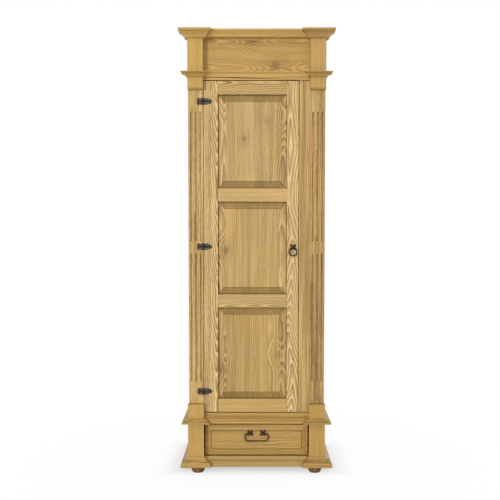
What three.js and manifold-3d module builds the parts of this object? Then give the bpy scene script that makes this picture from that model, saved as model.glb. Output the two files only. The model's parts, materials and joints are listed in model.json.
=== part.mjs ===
// Single-door pine wardrobe with a drawer under the door.
// Millimetres, +Z up, the front faces -Y, origin on the floor under the middle.
import * as THREE from 'three';
import { mergeVertices } from 'three/addons/utils/BufferGeometryUtils.js';
import Module from 'manifold-3d';

const wasm = await Module();
wasm.setup();

// Joinery values shared by all pieces
const seat = 0.3;         // gap left where one piece seats on another
const overrun = 6;        // how far a cutter runs past what it cuts
const curveSteps = 5;     // straight steps in each curve of a moulding

// Carcass: the box behind the front frame
const carcass = { width: 616, depth: 542, side: 20, board: 18, back: 10, backInset: 2 };
const backBoards = { count: 6, groove: 1.6 };

// Front frame: everything that lies in the plane of the door
const frame = { thickness: 24, pilaster: 67, closingStile: 50, friezeRecess: 8, frieze: 14 };

// Heights of the front, from the floor up
const foot = {
  height: 35, topRadius: 31, bellyRadius: 32.5, soleRadius: 24.5, sides: 24,
  fromFront: 37, fromSide: 39.5, fromBack: 45,
};
const drawerOpening = { height: 149 };
const waistRail = { below: 7, above: 24.5, bead: 8.5, beadDepth: 2 };
const architraveRail = { below: 11 };
const friezeHeight = 148.5;

// Mouldings: how far each stands out from the face that carries it, and how high it is
const crown = { projection: 38, height: 38, centreRise: 8 };
const architrave = { projection: 28, height: 20 };
const waist = { projection: 27, height: 19.5 };
const base = { projection: 32, height: 43.5, centreDrop: 1.5 };

// Corner blocks glued on the pilasters
const block = {
  proud: 20, innerOverhang: 1.5, outerOverhang: { upper: 1.5, lower: 4 },
  upperHeight: 262, lowerHeight: 286, nose: 11, edge: 3,
};

// Flutes in the pilasters
const flute = {
  radius: 3.2, pitch: 21, count: 3, runs: 2, above: 103, below: 96, between: 56, sides: 12, capSteps: 3,
};

// Door
const door = { height: 1497.5, gap: 4, hingeGap: 2, lockGap: 2.5, hingeStile: 64, lockStile: 51.5, rail: 60 };
const tenon = { length: 25, thickness: 8, shoulder: 10 };
const panel = {
  count: 3, fieldRecess: 4, tongueRecess: 11, tongue: 6, inGroove: 8,
  sideBevel: 25, endBevel: 32, step: 1.5,
};

// Drawer
const drawer = {
  gap: 5, sideGap: 5.5, front: 22, rim: 5, rimRecess: 6, bevel: 23, step: 1.5,
  side: 14, sideInset: 0.5, sideLift: 6, sideBelowTop: 31, behind: 68,
  bottom: 6, bottomLift: 14, inGroove: 6,
};
const dovetail = { count: 3, length: 11, rootHalf: 8.5, tipHalf: 12.5 };
const runner = { ledge: 18, thickness: 16, guide: 18, play: 0.8, behind: 6 };

// Inside the hanging space
const shelf = { height: 320, inDado: 7, frontInset: 10 };
const rail = { radius: 12.5, wall: 1.5, drop: 159, play: 0.4, sides: 24 };
const socket = { flangeRadius: 26, flange: 3, cupWall: 3, cupLength: 14 };
const magnetCatch = { width: 16, depth: 12, height: 46, flange: 22, flangeThickness: 3, standOff: 2 };

// Ironwork
const hinge = {
  height: 28, plate: 2.5, knuckleRadius: 4, pinRadius: 1.6, pinPlay: 0.2, play: 0.5,
  belowBlock: 51, aboveMiddle: 6.5, aboveBlock: 55.5, frameLeaf: 28, doorLeaf: 21,
  spearNeck: 9, spearLength: 19, spearHalf: 9, sides: 16, corner: 2,
};
const rosette = {
  petals: 4, reach: 17.5, waist: 7, plate: 2.5, bossRadius: 6.5, bossWidth: 5, eyeSides: 16, steps: 6,
};
const wire = { radius: 2.8, play: 0.7, standOff: 8, sides: 10 };
const ring = { radius: 16.8, drop: 22.7, neckAngle: 0.6, steps: 48 };
const bail = { spread: 58, width: 112, drop: 34.7, corner: 15, pinEnd: 7, steps: 56, belowTop: 37.5 };
const ringPlace = { fromLockEdge: 24, aboveMiddle: 5 };

// Places worked out from the sizes above
const total = { depth: carcass.depth + block.proud + crown.projection };
const faceY = -total.depth / 2 + crown.projection + block.proud;
const backY = total.depth / 2;
const baseZ = foot.height;
const drawerFloorZ = baseZ + base.height - base.centreDrop;
const waistRailZ = drawerFloorZ + drawerOpening.height;
const waistZ = waistRailZ + waistRail.below;
const floorZ = waistZ + waist.height + waistRail.above;
const doorZ = floorZ + door.gap;
const doorTopZ = doorZ + door.height;
const architraveRailZ = doorTopZ + door.gap;
const architraveZ = architraveRailZ + architraveRail.below;
const friezeZ = architraveZ + architrave.height;
const crownZ = friezeZ + friezeHeight;
const topZ = crownZ + crown.height;
const outerX = carcass.width / 2;
const innerX = outerX - carcass.side;
const pilasterX = outerX - frame.pilaster;
const closingX = pilasterX - frame.closingStile;
const doorX = -pilasterX + door.hingeGap;
const doorWidth = closingX - door.lockGap - doorX;
const frameBackY = faceY + frame.thickness;
const backPanelY = backY - carcass.backInset - carcass.back;
const boardTopZ = topZ - carcass.board;

const drawerZ = drawerFloorZ + drawer.gap;
const drawerHeight = drawerOpening.height - 2 * drawer.gap;
const drawerHalf = pilasterX - block.innerOverhang - drawer.sideGap;
const drawerSide = {
  outer: drawerHalf - drawer.sideInset,
  inner: drawerHalf - drawer.sideInset - drawer.side,
};
const hingeAxis = { x: (doorX - pilasterX) / 2, y: faceY - seat - hinge.knuckleRadius };
const ringPivot = {
  x: doorX + doorWidth - ringPlace.fromLockEdge, y: faceY - seat - wire.standOff,
  z: doorZ + door.height / 2 + ringPlace.aboveMiddle,
};
const bailPivot = { x: 0, y: faceY - seat - wire.standOff, z: drawerZ + drawerHeight - bail.belowTop };
const hingeZ = {
  upper: topZ - block.upperHeight - hinge.belowBlock,
  middle: doorZ + door.height / 2 + hinge.aboveMiddle,
  lower: baseZ + block.lowerHeight + hinge.aboveBlock,
};

// Colours of the finishes
const finishes = {
  pine: { color: 0xc8a058, roughness: 0.55, metalness: 0 },
  palePine: { color: 0xd6b478, roughness: 0.55, metalness: 0 },
  rawPine: { color: 0xdcc08c, roughness: 0.75, metalness: 0 },
  turnedWood: { color: 0x8a5a2a, roughness: 0.6, metalness: 0 },
  iron: { color: 0x2e2824, roughness: 0.55, metalness: 0.7 },
  steel: { color: 0xb9bcbf, roughness: 0.25, metalness: 1 },
  plastic: { color: 0x6b4a2c, roughness: 0.5, metalness: 0 },
};

// Small tools for spans, meshes and cuts
const span = (low, high) => ({ low, high, size: high - low, mid: (low + high) / 2 });
const grow = (range, by) => span(range.low - by, range.high + by);
const mirrored = (range, side) => (side > 0 ? range : span(-range.high, -range.low));
const sideName = (side) => (side < 0 ? 'left' : 'right');
const sides = [-1, 1];

function mesh(name, finish, geometry) {
  const piece = new THREE.Mesh(geometry, new THREE.MeshStandardMaterial(finishes[finish]));
  piece.name = name;
  return piece;
}

function slab(x, y, z) {
  const geometry = new THREE.BoxGeometry(x.size, y.size, z.size);
  return geometry.translate(x.mid, y.mid, z.mid);
}

function board(name, finish, x, y, z) {
  const piece = mesh(name, finish, new THREE.BoxGeometry(x.size, y.size, z.size));
  piece.position.set(x.mid, y.mid, z.mid);
  return piece;
}

function toSolid(geometry) {
  const bare = geometry.clone();
  bare.deleteAttribute('normal');
  bare.deleteAttribute('uv');
  const merged = mergeVertices(bare);
  const vertProperties = new Float32Array(merged.attributes.position.array);
  const triVerts = new Uint32Array(merged.index.array);
  return new wasm.Manifold(new wasm.Mesh({ numProp: 3, vertProperties, triVerts }));
}

function toGeometry(solid) {
  const { vertProperties, triVerts } = solid.getMesh();
  const geometry = new THREE.BufferGeometry();
  geometry.setAttribute('position', new THREE.BufferAttribute(vertProperties, 3));
  geometry.setIndex(new THREE.BufferAttribute(triVerts, 1));
  geometry.computeVertexNormals();
  return geometry;
}

const combine = (method) => (first, ...others) =>
  toGeometry(others.reduce((solid, other) => solid[method](toSolid(other)), toSolid(first)));
const cut = combine('subtract');
const join = combine('add');
const common = combine('intersect');

// A closed outline carried along an axis: u points out of the face and v points up
function extrudeAlong(points, range, u, v) {
  const shape = new THREE.Shape(points);
  const geometry = new THREE.ExtrudeGeometry(shape, { depth: range.size, bevelEnabled: false });
  const along = new THREE.Vector3().crossVectors(u, v);
  const start = along.clone().multiplyScalar(along.x + along.y + along.z > 0 ? range.low : -range.high);
  geometry.applyMatrix4(new THREE.Matrix4().makeBasis(u, v, along));
  return geometry.translate(start.x, start.y, start.z);
}

const up = new THREE.Vector3(0, 0, 1);
const outFront = new THREE.Vector3(0, -1, 0);
const outRight = new THREE.Vector3(1, 0, 0);
const sectionAlongX = (points, range) => extrudeAlong(points, range, outFront, up);
const sectionAlongY = (points, range) => extrudeAlong(points, range, outRight, up);
const sectionAlongZ = (points, range) => extrudeAlong(
  points.map((point) => new THREE.Vector2(-point.x, point.y)), range, outRight.clone().negate(), outFront,
);

// Moulding sections, from the bottom up, as shares of projection and height.
// A point is [u, v]; a curve is [control u, control v, u, v].
const crownShares = [
  [0, 0], [0.3, 0.03], [0.36, 0.12], [0.5, 0.5, 0.86, 0.7], [0.88, 0.75], [1, 0.75], [1, 1],
];
const architraveShares = [
  [0, 0], [0.15, 0.02], [0.22, 0.1], [0.22, 0.24], [0.32, 0.28], [0.4, 0.66, 0.82, 0.78],
  [0.86, 0.86], [1, 0.86], [1, 1],
];
const waistShares = [
  [0, 0], [1, 0], [1, 0.24], [0.94, 0.3], [0.92, 0.54, 0.66, 0.58], [0.6, 0.58], [0.6, 0.68],
  [0.56, 0.92], [0.5, 1], [0, 1],
];
const baseShares = [
  [0, 0], [0.94, 0], [1, 0.07], [1, 0.28], [0.94, 0.31], [0.95, 0.5, 0.62, 0.58], [0.52, 0.58],
  [0.52, 0.65], [0.2, 0.7, 0.16, 0.93], [0.13, 1], [0, 1],
];

function mouldingPoints(shares, size, z) {
  const path = new THREE.Path();
  const place = (u, v) => [u * size.projection, z + v * size.height];
  path.moveTo(...place(...shares[0]));
  for (const step of shares.slice(1)) {
    if (step.length === 2) path.lineTo(...place(...step));
    else path.quadraticCurveTo(...place(...step.slice(0, 2)), ...place(...step.slice(2)));
  }
  return path.getPoints(curveSteps);
}

// A moulding that faces forward from a plane at y, backed to a depth behind it
function frontRun(points, x, y, depth) {
  const low = points[0].y;
  const high = points[points.length - 1].y;
  const outline = [
    new THREE.Vector2(-depth, low), ...points, new THREE.Vector2(-depth, high),
  ].map((point) => new THREE.Vector2(point.x - y, point.y));
  return sectionAlongX(outline, x);
}

// A bar whose two long sides carry the same moulding
function twoSidedRun(points, x, y, extra = 0) {
  const right = points.map((point) => new THREE.Vector2(x.high + point.x + extra, point.y));
  const left = points.map((point) => new THREE.Vector2(x.low - point.x - extra, point.y)).reverse();
  return sectionAlongY([...right, ...left], y);
}

// Where the corner blocks stand, in the frame of the front face
function blockPlan(side, level) {
  return {
    x: mirrored(span(pilasterX - block.innerOverhang, outerX + block.outerOverhang[level]), side),
    y: span(-block.proud, -seat),
    z: level === 'upper' ? span(topZ - block.upperHeight, topZ) : span(baseZ, baseZ + block.lowerHeight),
  };
}

function cornerBlock(side, level) {
  const { x, y, z } = blockPlan(side, level);
  const radius = level === 'upper' ? block.nose : block.edge;
  const outline = new THREE.Shape();
  outline.moveTo(-y.high, z.low);
  outline.lineTo(-y.high, z.high);
  if (level === 'upper') {
    outline.lineTo(-y.low, z.high);
    outline.lineTo(-y.low, z.low + radius);
    outline.absarc(-y.low - radius, z.low + radius, radius, 0, -Math.PI / 2, true);
  } else {
    outline.lineTo(-y.low - radius, z.high);
    outline.absarc(-y.low - radius, z.high - radius, radius, Math.PI / 2, 0, true);
    outline.lineTo(-y.low, z.low);
  }
  return sectionAlongX(outline.getPoints(curveSteps), x);
}

// A moulding mitred round three sides of a block, with a return along the outer side.
// It clears the block, or is left whole where it is one piece with it.
function cap(side, level, points, innerBack, outerBack, whole = false) {
  const { x, y, z } = blockPlan(side, level);
  const reach = points.reduce((most, point) => Math.max(most, point.x), 0) + overrun;
  const front = frontRun(points, grow(x, reach), y.low, innerBack - seat - y.low);
  const around = twoSidedRun(points, x, span(y.low - reach, innerBack + overrun));
  const outward = block.outerOverhang[level];
  const outerPoints = [
    new THREE.Vector2(side * (outerX + seat), points[0].y),
    ...points.map((point) => new THREE.Vector2(side * (outerX + outward + point.x), point.y)),
    new THREE.Vector2(side * (outerX + seat), points[points.length - 1].y),
  ];
  const outerReturn = sectionAlongY(outerPoints, span(y.low + block.edge, outerBack));
  const blockSpace = slab(grow(x, seat), span(y.low - seat, y.high + overrun), grow(z, overrun));
  const pilasterSpace = slab(
    mirrored(span(pilasterX - seat, outerX + seat), side), span(y.low + block.edge, outerBack + overrun),
    grow(z, overrun),
  );
  const wrapped = cut(join(common(front, around), outerReturn), pilasterSpace);
  return whole ? wrapped : cut(wrapped, blockSpace);
}

// A moulding between two caps, its ends coped over them, with the rail or back edge it grows from
function centreMoulding(points, level, back, body) {
  const blocks = sides.map((side) => blockPlan(side, level));
  const run = frontRun(points, span(blocks[0].x.mid, blocks[1].x.mid), 0, back);
  const reach = blocks[0].y.low - total.depth / 2;
  const capSpaces = blocks.map(({ x }) => twoSidedRun(points, x, span(reach, back + overrun), seat));
  const tall = grow(span(points[0].y, points[points.length - 1].y), overrun);
  const sideSpaces = blocks.map(({ x }) => slab(grow(x, seat), span(reach, back + overrun), tall));
  const moulding = cut(run, ...capSpaces, ...sideSpaces);
  return body ? join(moulding, body) : moulding;
}

// Matched boards: a small V on both faces at each joint
function matchedBoards(x, y, z) {
  const pitch = x.size / backBoards.count;
  const { groove } = backBoards;
  const grooves = [];
  for (let joint = 1; joint < backBoards.count; joint += 1) {
    for (const face of [y.low, y.high]) {
      const middle = new THREE.Vector2(x.low + joint * pitch, -face);
      const corners = [[-groove, 0], [0, -groove], [groove, 0], [0, groove]].map(
        ([across, deep]) => new THREE.Vector2(middle.x + across, middle.y + deep),
      );
      grooves.push(sectionAlongZ(corners, grow(z, overrun)));
    }
  }
  return cut(slab(x, y, z), ...grooves);
}

// The box of the wardrobe
function buildCarcass() {
  const group = new THREE.Group();
  const panelY = span(frameBackY + seat, backY);
  const shelfZ = span(floorZ + shelf.height - carcass.board, floorZ + shelf.height);
  const shelfY = span(frameBackY + shelf.frontInset, backPanelY - seat);
  const wallZ = span(baseZ, boardTopZ - seat);
  for (const side of sides) {
    const x = mirrored(span(innerX, outerX), side);
    const dado = slab(
      mirrored(span(innerX - overrun, innerX + shelf.inDado + seat), side),
      span(panelY.low - overrun, shelfY.high + seat), grow(shelfZ, seat),
    );
    const panelGeometry = cut(slab(x, panelY, wallZ), dado);
    group.add(mesh(`${sideName(side)}_side_panel`, 'pine', panelGeometry));
  }
  const between = span(-innerX + seat, innerX - seat);
  const boardY = span(frameBackY + seat, backPanelY - seat);
  const shelfX = span(-innerX - shelf.inDado, innerX + shelf.inDado);
  group.add(
    mesh(
      'back_panel', 'rawPine', matchedBoards(between, span(backPanelY, backY - carcass.backInset), wallZ),
    ),
    board('top_board', 'pine', span(-outerX, outerX), span(faceY, backY), span(boardTopZ, topZ)),
    board('cabinet_floor', 'rawPine', between, boardY, span(floorZ - carcass.board, floorZ)),
    board('base_board', 'rawPine', between, boardY, span(baseZ, baseZ + carcass.board)),
    board('shelf', 'rawPine', shelfX, shelfY, shelfZ),
  );
  return group;
}

// Pilasters with two runs of stopped flutes
function pilaster(side) {
  const x = mirrored(span(pilasterX, outerX), side);
  const low = baseZ + block.lowerHeight + flute.above;
  const high = topZ - block.upperHeight - flute.below;
  const runLength = (high - low - flute.between * (flute.runs - 1)) / flute.runs;
  const cutters = [];
  for (let run = 0; run < flute.runs; run += 1) {
    const middle = low + runLength / 2 + run * (runLength + flute.between);
    for (let index = 0; index < flute.count; index += 1) {
      const offset = (index - (flute.count - 1) / 2) * flute.pitch;
      const straight = runLength - 2 * flute.radius;
      const capsule = new THREE.CapsuleGeometry(flute.radius, straight, flute.capSteps, flute.sides);
      capsule.rotateX(Math.PI / 2);
      cutters.push(capsule.translate(x.mid + offset, 0, middle));
    }
  }
  const post = slab(x, span(0, frame.thickness), span(baseZ, boardTopZ - seat));
  return cut(post, ...cutters);
}

// Everything fixed that lies in or on the front plane, in the frame of that plane
function buildFront() {
  const group = new THREE.Group();
  group.position.y = faceY;
  const thick = span(0, frame.thickness);
  const between = span(-pilasterX + seat, pilasterX - seat);
  const crownPoints = mouldingPoints(crownShares, crown, crownZ);
  const architravePoints = mouldingPoints(architraveShares, architrave, architraveZ);
  const waistPoints = mouldingPoints(waistShares, waist, waistZ);
  const basePoints = mouldingPoints(baseShares, base, baseZ);
  const fullDepth = backY - faceY;
  const topSpace = slab(
    span(-outerX, outerX), span(-seat, fullDepth), span(boardTopZ - seat, topZ + overrun),
  );

  for (const side of sides) {
    const name = sideName(side);
    const upperBlock = join(
      cornerBlock(side, 'upper'), cap(side, 'upper', architravePoints, 0, frame.thickness, true),
    );
    const crownCap = cap(side, 'upper', crownPoints, frame.friezeRecess, frame.thickness);
    group.add(
      mesh(`${name}_pilaster`, 'pine', pilaster(side)),
      mesh(`upper_${name}_block`, 'pine', upperBlock),
      mesh(`lower_${name}_block`, 'pine', cornerBlock(side, 'lower')),
      mesh(`cornice_${name}`, 'pine', cut(crownCap, topSpace)),
      mesh(`waist_${name}`, 'pine', cap(side, 'lower', waistPoints, 0, fullDepth)),
      mesh(`base_${name}`, 'pine', cap(side, 'lower', basePoints, 0, fullDepth)),
    );
  }

  const wide = grow(between, overrun);
  const deep = span(-total.depth, frame.thickness + overrun);
  const belowCrown = slab(wide, deep, span(friezeZ, crownZ + crown.centreRise));
  const aboveBase = slab(wide, deep, span(drawerFloorZ, drawerFloorZ + base.height));
  const architraveBody = slab(between, thick, span(architraveRailZ, friezeZ - seat));
  const waistBody = slab(between, thick, span(waistRailZ, floorZ));
  const baseBody = slab(between, thick, span(baseZ, drawerFloorZ));
  const beadZ = waistZ + waist.height + waistRail.bead;
  const beadLine = sectionAlongX([
    new THREE.Vector2(overrun, beadZ + overrun), new THREE.Vector2(-waistRail.beadDepth, beadZ),
    new THREE.Vector2(overrun, beadZ - overrun),
  ], wide);
  const cornice = cut(
    centreMoulding(crownPoints, 'upper', frame.friezeRecess - seat), topSpace, belowCrown,
  );
  const waistMoulding = cut(centreMoulding(waistPoints, 'lower', seat, waistBody), beadLine);
  group.add(
    mesh('cornice_centre', 'pine', cornice),
    mesh('architrave_centre', 'pine', centreMoulding(architravePoints, 'upper', seat, architraveBody)),
    mesh('waist_centre', 'pine', waistMoulding),
    mesh('base_centre', 'pine', cut(centreMoulding(basePoints, 'lower', seat, baseBody), aboveBase)),
    board(
      'frieze_board', 'pine', between, span(frame.friezeRecess, frame.friezeRecess + frame.frieze),
      span(friezeZ, boardTopZ - seat),
    ),
    board(
      'closing_stile', 'palePine', span(closingX, pilasterX - seat), thick,
      span(floorZ + seat, architraveRailZ - seat),
    ),
  );
  return group;
}

// Turned bun feet
function buildFeet() {
  const group = new THREE.Group();
  const profile = new THREE.Path();
  profile.moveTo(0, 0);
  profile.lineTo(foot.soleRadius, 0);
  profile.quadraticCurveTo(foot.bellyRadius, foot.height / 3, foot.bellyRadius, foot.height * 2 / 3);
  profile.quadraticCurveTo(foot.bellyRadius, foot.height, foot.topRadius, foot.height - seat);
  profile.lineTo(0, foot.height - seat);
  for (const side of sides) {
    const places = { front: faceY - block.proud + foot.fromFront, rear: backY - foot.fromBack };
    for (const [name, y] of Object.entries(places)) {
      const turned = new THREE.LatheGeometry(profile.getPoints(curveSteps), foot.sides);
      turned.rotateX(Math.PI / 2);
      const piece = mesh(`${name}_${sideName(side)}_foot`, 'turnedWood', turned);
      piece.position.set(side * (outerX - foot.fromSide), y, 0);
      group.add(piece);
    }
  }
  return group;
}

// What is fixed inside: drawer runners, hanging rail with its sockets, and the door's magnet
function buildFittings() {
  const group = new THREE.Group();
  const railZ = boardTopZ - rail.drop;
  const railY = (frameBackY + backPanelY) / 2;
  for (const side of sides) {
    const name = sideName(side);
    const sideX = drawerSide.outer;
    const ledgeTop = drawerZ + drawer.sideLift - seat;
    const guideX = sideX + runner.play;
    const section = [
      [sideX - runner.ledge, ledgeTop], [guideX, ledgeTop], [guideX, ledgeTop + runner.guide],
      [innerX - seat, ledgeTop + runner.guide], [innerX - seat, ledgeTop - runner.thickness],
      [sideX - runner.ledge, ledgeTop - runner.thickness],
    ].map(([x, z]) => new THREE.Vector2(side * x, z));
    const reach = span(frameBackY + seat, backPanelY - runner.behind);
    group.add(mesh(`${name}_drawer_runner`, 'rawPine', sectionAlongY(section, reach)));

    const inner = rail.radius + rail.play;
    const cup = [
      [0, 0], [socket.flangeRadius, 0], [socket.flangeRadius, socket.flange],
      [inner + socket.cupWall, socket.flange], [inner + socket.cupWall, socket.cupLength],
      [inner, socket.cupLength], [inner, socket.flange], [0, socket.flange],
    ].map(([radius, along]) => new THREE.Vector2(radius, along));
    const socketGeometry = new THREE.LatheGeometry(cup, rail.sides);
    socketGeometry.rotateZ(side * Math.PI / 2);
    const socketMesh = mesh(`${name}_rail_socket`, 'steel', socketGeometry);
    socketMesh.position.set(side * (innerX - seat), railY, railZ);
    group.add(socketMesh);
  }

  const circle = new THREE.Shape();
  circle.absarc(0, 0, rail.radius, 0, 2 * Math.PI);
  const bore = new THREE.Path();
  bore.absarc(0, 0, rail.radius - rail.wall, 0, 2 * Math.PI);
  circle.holes.push(bore);
  const railLength = 2 * (innerX - seat - socket.flange - seat);
  const tube = new THREE.ExtrudeGeometry(
    circle, { depth: railLength, bevelEnabled: false, curveSegments: rail.sides / 2 },
  );
  tube.translate(0, 0, -railLength / 2);
  tube.rotateY(Math.PI / 2);
  const railMesh = mesh('hanging_rail', 'steel', tube);
  railMesh.position.set(0, railY, railZ);
  group.add(railMesh);

  const magnetZ = span(-magnetCatch.height / 2, magnetCatch.height / 2);
  const housing = slab(
    span(closingX - magnetCatch.width, closingX + magnetCatch.flangeThickness),
    span(magnetCatch.standOff, magnetCatch.standOff + magnetCatch.depth), magnetZ,
  );
  const flange = slab(
    span(closingX, closingX + magnetCatch.flange),
    span(seat, magnetCatch.standOff + magnetCatch.flangeThickness), magnetZ,
  );
  const magnet = mesh('door_magnet', 'plastic', join(housing, flange));
  magnet.position.set(0, frameBackY, doorZ + door.height / 2);
  group.add(magnet);
  return group;
}

// A fielded board: the same kind of section runs across it and up it, and the board is where both hold.
// Each step of a section is [how far in from the edge, how deep behind the face].
function fieldedSection(range, steps) {
  const low = steps.map(([inward, depth]) => new THREE.Vector2(range.low + inward, -depth));
  const high = steps.map(([inward, depth]) => new THREE.Vector2(range.high - inward, -depth)).reverse();
  return [...low, ...high];
}

function fieldedBoard(x, z, stepsAcross, stepsUp) {
  const upright = fieldedSection(z, stepsUp).map((point) => new THREE.Vector2(point.y, point.x));
  return common(
    sectionAlongZ(fieldedSection(x, stepsAcross), grow(z, overrun)), sectionAlongX(upright, grow(x, overrun)),
  );
}

// Door, in the frame of its lower left front corner
const railSpans = Array.from({ length: panel.count + 1 }, (_, index) => {
  const low = index * (door.height - door.rail) / panel.count;
  return span(low, low + door.rail);
});
const openingX = span(door.hingeStile, doorWidth - door.lockStile);
const openingZ = (index) => span(railSpans[index].high, railSpans[index + 1].low);

// A raised panel's section: the tongue in its groove, the slope, a small step and the field
function panelSteps(slope) {
  const inset = panel.inGroove + slope;
  return [
    [0, panel.tongueRecess + panel.tongue], [0, panel.tongueRecess], [panel.inGroove, panel.tongueRecess],
    [inset, panel.fieldRecess + panel.step], [inset, panel.fieldRecess],
  ];
}

function buildDoor() {
  const group = new THREE.Group();
  group.position.set(doorX, faceY, doorZ);
  const thick = span(0, frame.thickness);
  const tall = span(0, door.height);
  const grooveY = span(panel.tongueRecess - seat, panel.tongueRecess + panel.tongue + seat);
  const tenonY = span((frame.thickness - tenon.thickness) / 2, (frame.thickness + tenon.thickness) / 2);
  const panelSpaces = railSpans.slice(1).map((_, index) =>
    slab(grow(openingX, panel.inGroove + seat), grooveY, grow(openingZ(index), panel.inGroove + seat)));
  const tenonZ = (z) => grow(z, -tenon.shoulder);
  const mortises = railSpans.map((z) =>
    slab(grow(openingX, tenon.length + seat), grow(tenonY, seat), grow(tenonZ(z), seat)));

  const stiles = {
    door_hinge_stile: span(0, door.hingeStile), door_lock_stile: span(openingX.high, doorWidth),
  };
  for (const [name, x] of Object.entries(stiles)) {
    group.add(mesh(name, 'palePine', cut(slab(x, thick, tall), ...panelSpaces, ...mortises)));
  }
  railSpans.forEach((z, index) => {
    const body = slab(grow(openingX, -seat), thick, z);
    const tongue = slab(grow(openingX, tenon.length), tenonY, tenonZ(z));
    const railGeometry = cut(join(body, tongue), ...panelSpaces);
    group.add(mesh(`door_rail_${index + 1}`, 'palePine', railGeometry));
  });
  for (let index = 0; index < panel.count; index += 1) {
    const x = grow(openingX, panel.inGroove);
    const z = grow(openingZ(index), panel.inGroove);
    const raised = fieldedBoard(x, z, panelSteps(panel.sideBevel), panelSteps(panel.endBevel));
    group.add(mesh(`door_panel_${index + 1}`, 'palePine', raised));
  }
  return group;
}

// Half-blind dovetails at the front end of a drawer side, or their sockets when slack is given
function dovetails(x, z, slack) {
  const pitch = z.size / dovetail.count;
  const tip = -(drawer.front - dovetail.length - slack);
  const root = -(drawer.front + overrun);
  return Array.from({ length: dovetail.count }, (_, index) => {
    const middle = z.low + (index + 1 / 2) * pitch;
    const corners = [
      [root, dovetail.rootHalf], [-drawer.front, dovetail.rootHalf], [tip, dovetail.tipHalf],
    ];
    const upper = corners.map(([u, half]) => new THREE.Vector2(u, middle + half + slack));
    const lower = corners.map(([u, half]) => new THREE.Vector2(u, middle - half - slack)).reverse();
    return sectionAlongX([...upper, ...lower], x);
  });
}

// Drawer, in the frame of its front's lower middle
function buildDrawer() {
  const group = new THREE.Group();
  group.position.set(0, faceY, drawerZ);
  const inset = drawer.rim + drawer.bevel;
  const steps = [
    [0, drawer.front], [0, drawer.rimRecess], [drawer.rim, drawer.rimRecess],
    [inset, drawer.step], [inset, 0],
  ];
  const frontBoard = fieldedBoard(span(-drawerHalf, drawerHalf), span(0, drawerHeight), steps, steps);
  const depth = backPanelY - drawer.behind - faceY;
  const bottomZ = span(drawer.bottomLift, drawer.bottomLift + drawer.bottom);
  const insideX = drawerSide.inner;
  const bottomX = span(-insideX - drawer.inGroove, insideX + drawer.inGroove);
  const sideY = span(drawer.front + seat, depth);
  const bottomY = span(drawer.front - drawer.inGroove, depth);
  const grooveY = span(bottomY.low - seat, bottomY.high + overrun);
  const groove = slab(grow(bottomX, seat), grooveY, grow(bottomZ, seat));
  const sideZ = span(drawer.sideLift, drawerHeight - drawer.sideBelowTop);
  const socketX = span(insideX - seat, drawerHalf + overrun);
  const sockets = sides.flatMap((side) => dovetails(mirrored(socketX, side), sideZ, seat));
  group.add(mesh('drawer_front', 'pine', cut(frontBoard, groove, ...sockets)));
  for (const side of sides) {
    const sideX = mirrored(span(insideX, drawerSide.outer), side);
    const tailed = join(slab(sideX, sideY, sideZ), ...dovetails(sideX, sideZ, 0));
    group.add(mesh(`drawer_${sideName(side)}_side`, 'rawPine', cut(tailed, groove)));
  }
  group.add(
    board(
      'drawer_back', 'rawPine', span(-insideX + seat, insideX - seat), span(depth - drawer.side, depth),
      span(bottomZ.high + seat, sideZ.high),
    ),
    board('drawer_bottom', 'rawPine', bottomX, bottomY, bottomZ),
  );
  return group;
}

// Surface hinges: a plain leaf with the pin on the pilaster, and a spear-ended leaf on the door
function hingeOutline(far, near, half, spear) {
  const outline = new THREE.Shape();
  outline.moveTo(near, -half);
  outline.lineTo(far - hinge.corner, -half);
  outline.quadraticCurveTo(far, -half, far, -half + hinge.corner);
  if (spear) {
    outline.lineTo(far, -hinge.spearNeck / 2);
    outline.quadraticCurveTo(far + hinge.spearLength / 4, -hinge.spearHalf * 2, far + hinge.spearLength, 0);
    outline.quadraticCurveTo(far + hinge.spearLength / 4, hinge.spearHalf * 2, far, hinge.spearNeck / 2);
  }
  outline.lineTo(far, half - hinge.corner);
  outline.quadraticCurveTo(far, half, far - hinge.corner, half);
  outline.lineTo(near, half);
  return outline.getPoints(curveSteps);
}

function cylinderZ(radius, range) {
  const geometry = new THREE.CylinderGeometry(radius, radius, range.size, hinge.sides);
  geometry.rotateX(Math.PI / 2);
  return geometry.translate(0, 0, range.mid);
}

function hingeLeaf(side) {
  const half = hinge.height / 2;
  const third = hinge.height / 6;
  const middle = span(-third, third);
  const near = hinge.knuckleRadius + hinge.play;
  const far = side < 0 ? hinge.frameLeaf : hinge.doorLeaf;
  const plateY = span(hinge.knuckleRadius - hinge.plate, hinge.knuckleRadius);
  const outline = hingeOutline(far, near, half, side > 0);
  const turned = outline.map((point) => new THREE.Vector2(side * point.x, point.y));
  const plate = extrudeAlong(turned, plateY, outRight, up);
  const tab = (z) => slab(mirrored(span(0, near + hinge.play), side), plateY, z);
  if (side > 0) {
    const pinSpace = cylinderZ(hinge.pinRadius + hinge.pinPlay, grow(middle, overrun));
    return cut(join(plate, tab(middle), cylinderZ(hinge.knuckleRadius, middle)), pinSpace);
  }
  const pin = cylinderZ(hinge.pinRadius, span(-half, half));
  const ends = [span(-half, -third - hinge.play), span(third + hinge.play, half)];
  return join(plate, pin, ...ends.flatMap((z) => [cylinderZ(hinge.knuckleRadius, z), tab(z)]));
}

function buildHinges() {
  const frameLeaves = new THREE.Group();
  const doorLeaves = new THREE.Group();
  for (const group of [frameLeaves, doorLeaves]) {
    group.position.set(hingeAxis.x, hingeAxis.y, 0);
  }
  for (const [name, z] of Object.entries(hingeZ)) {
    const fixed = mesh(`hinge_${name}_frame_leaf`, 'iron', hingeLeaf(-1));
    const moving = mesh(`hinge_${name}_door_leaf`, 'iron', hingeLeaf(1));
    fixed.position.z = z;
    moving.position.z = z;
    frameLeaves.add(fixed);
    doorLeaves.add(moving);
  }
  return [frameLeaves, doorLeaves];
}

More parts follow.
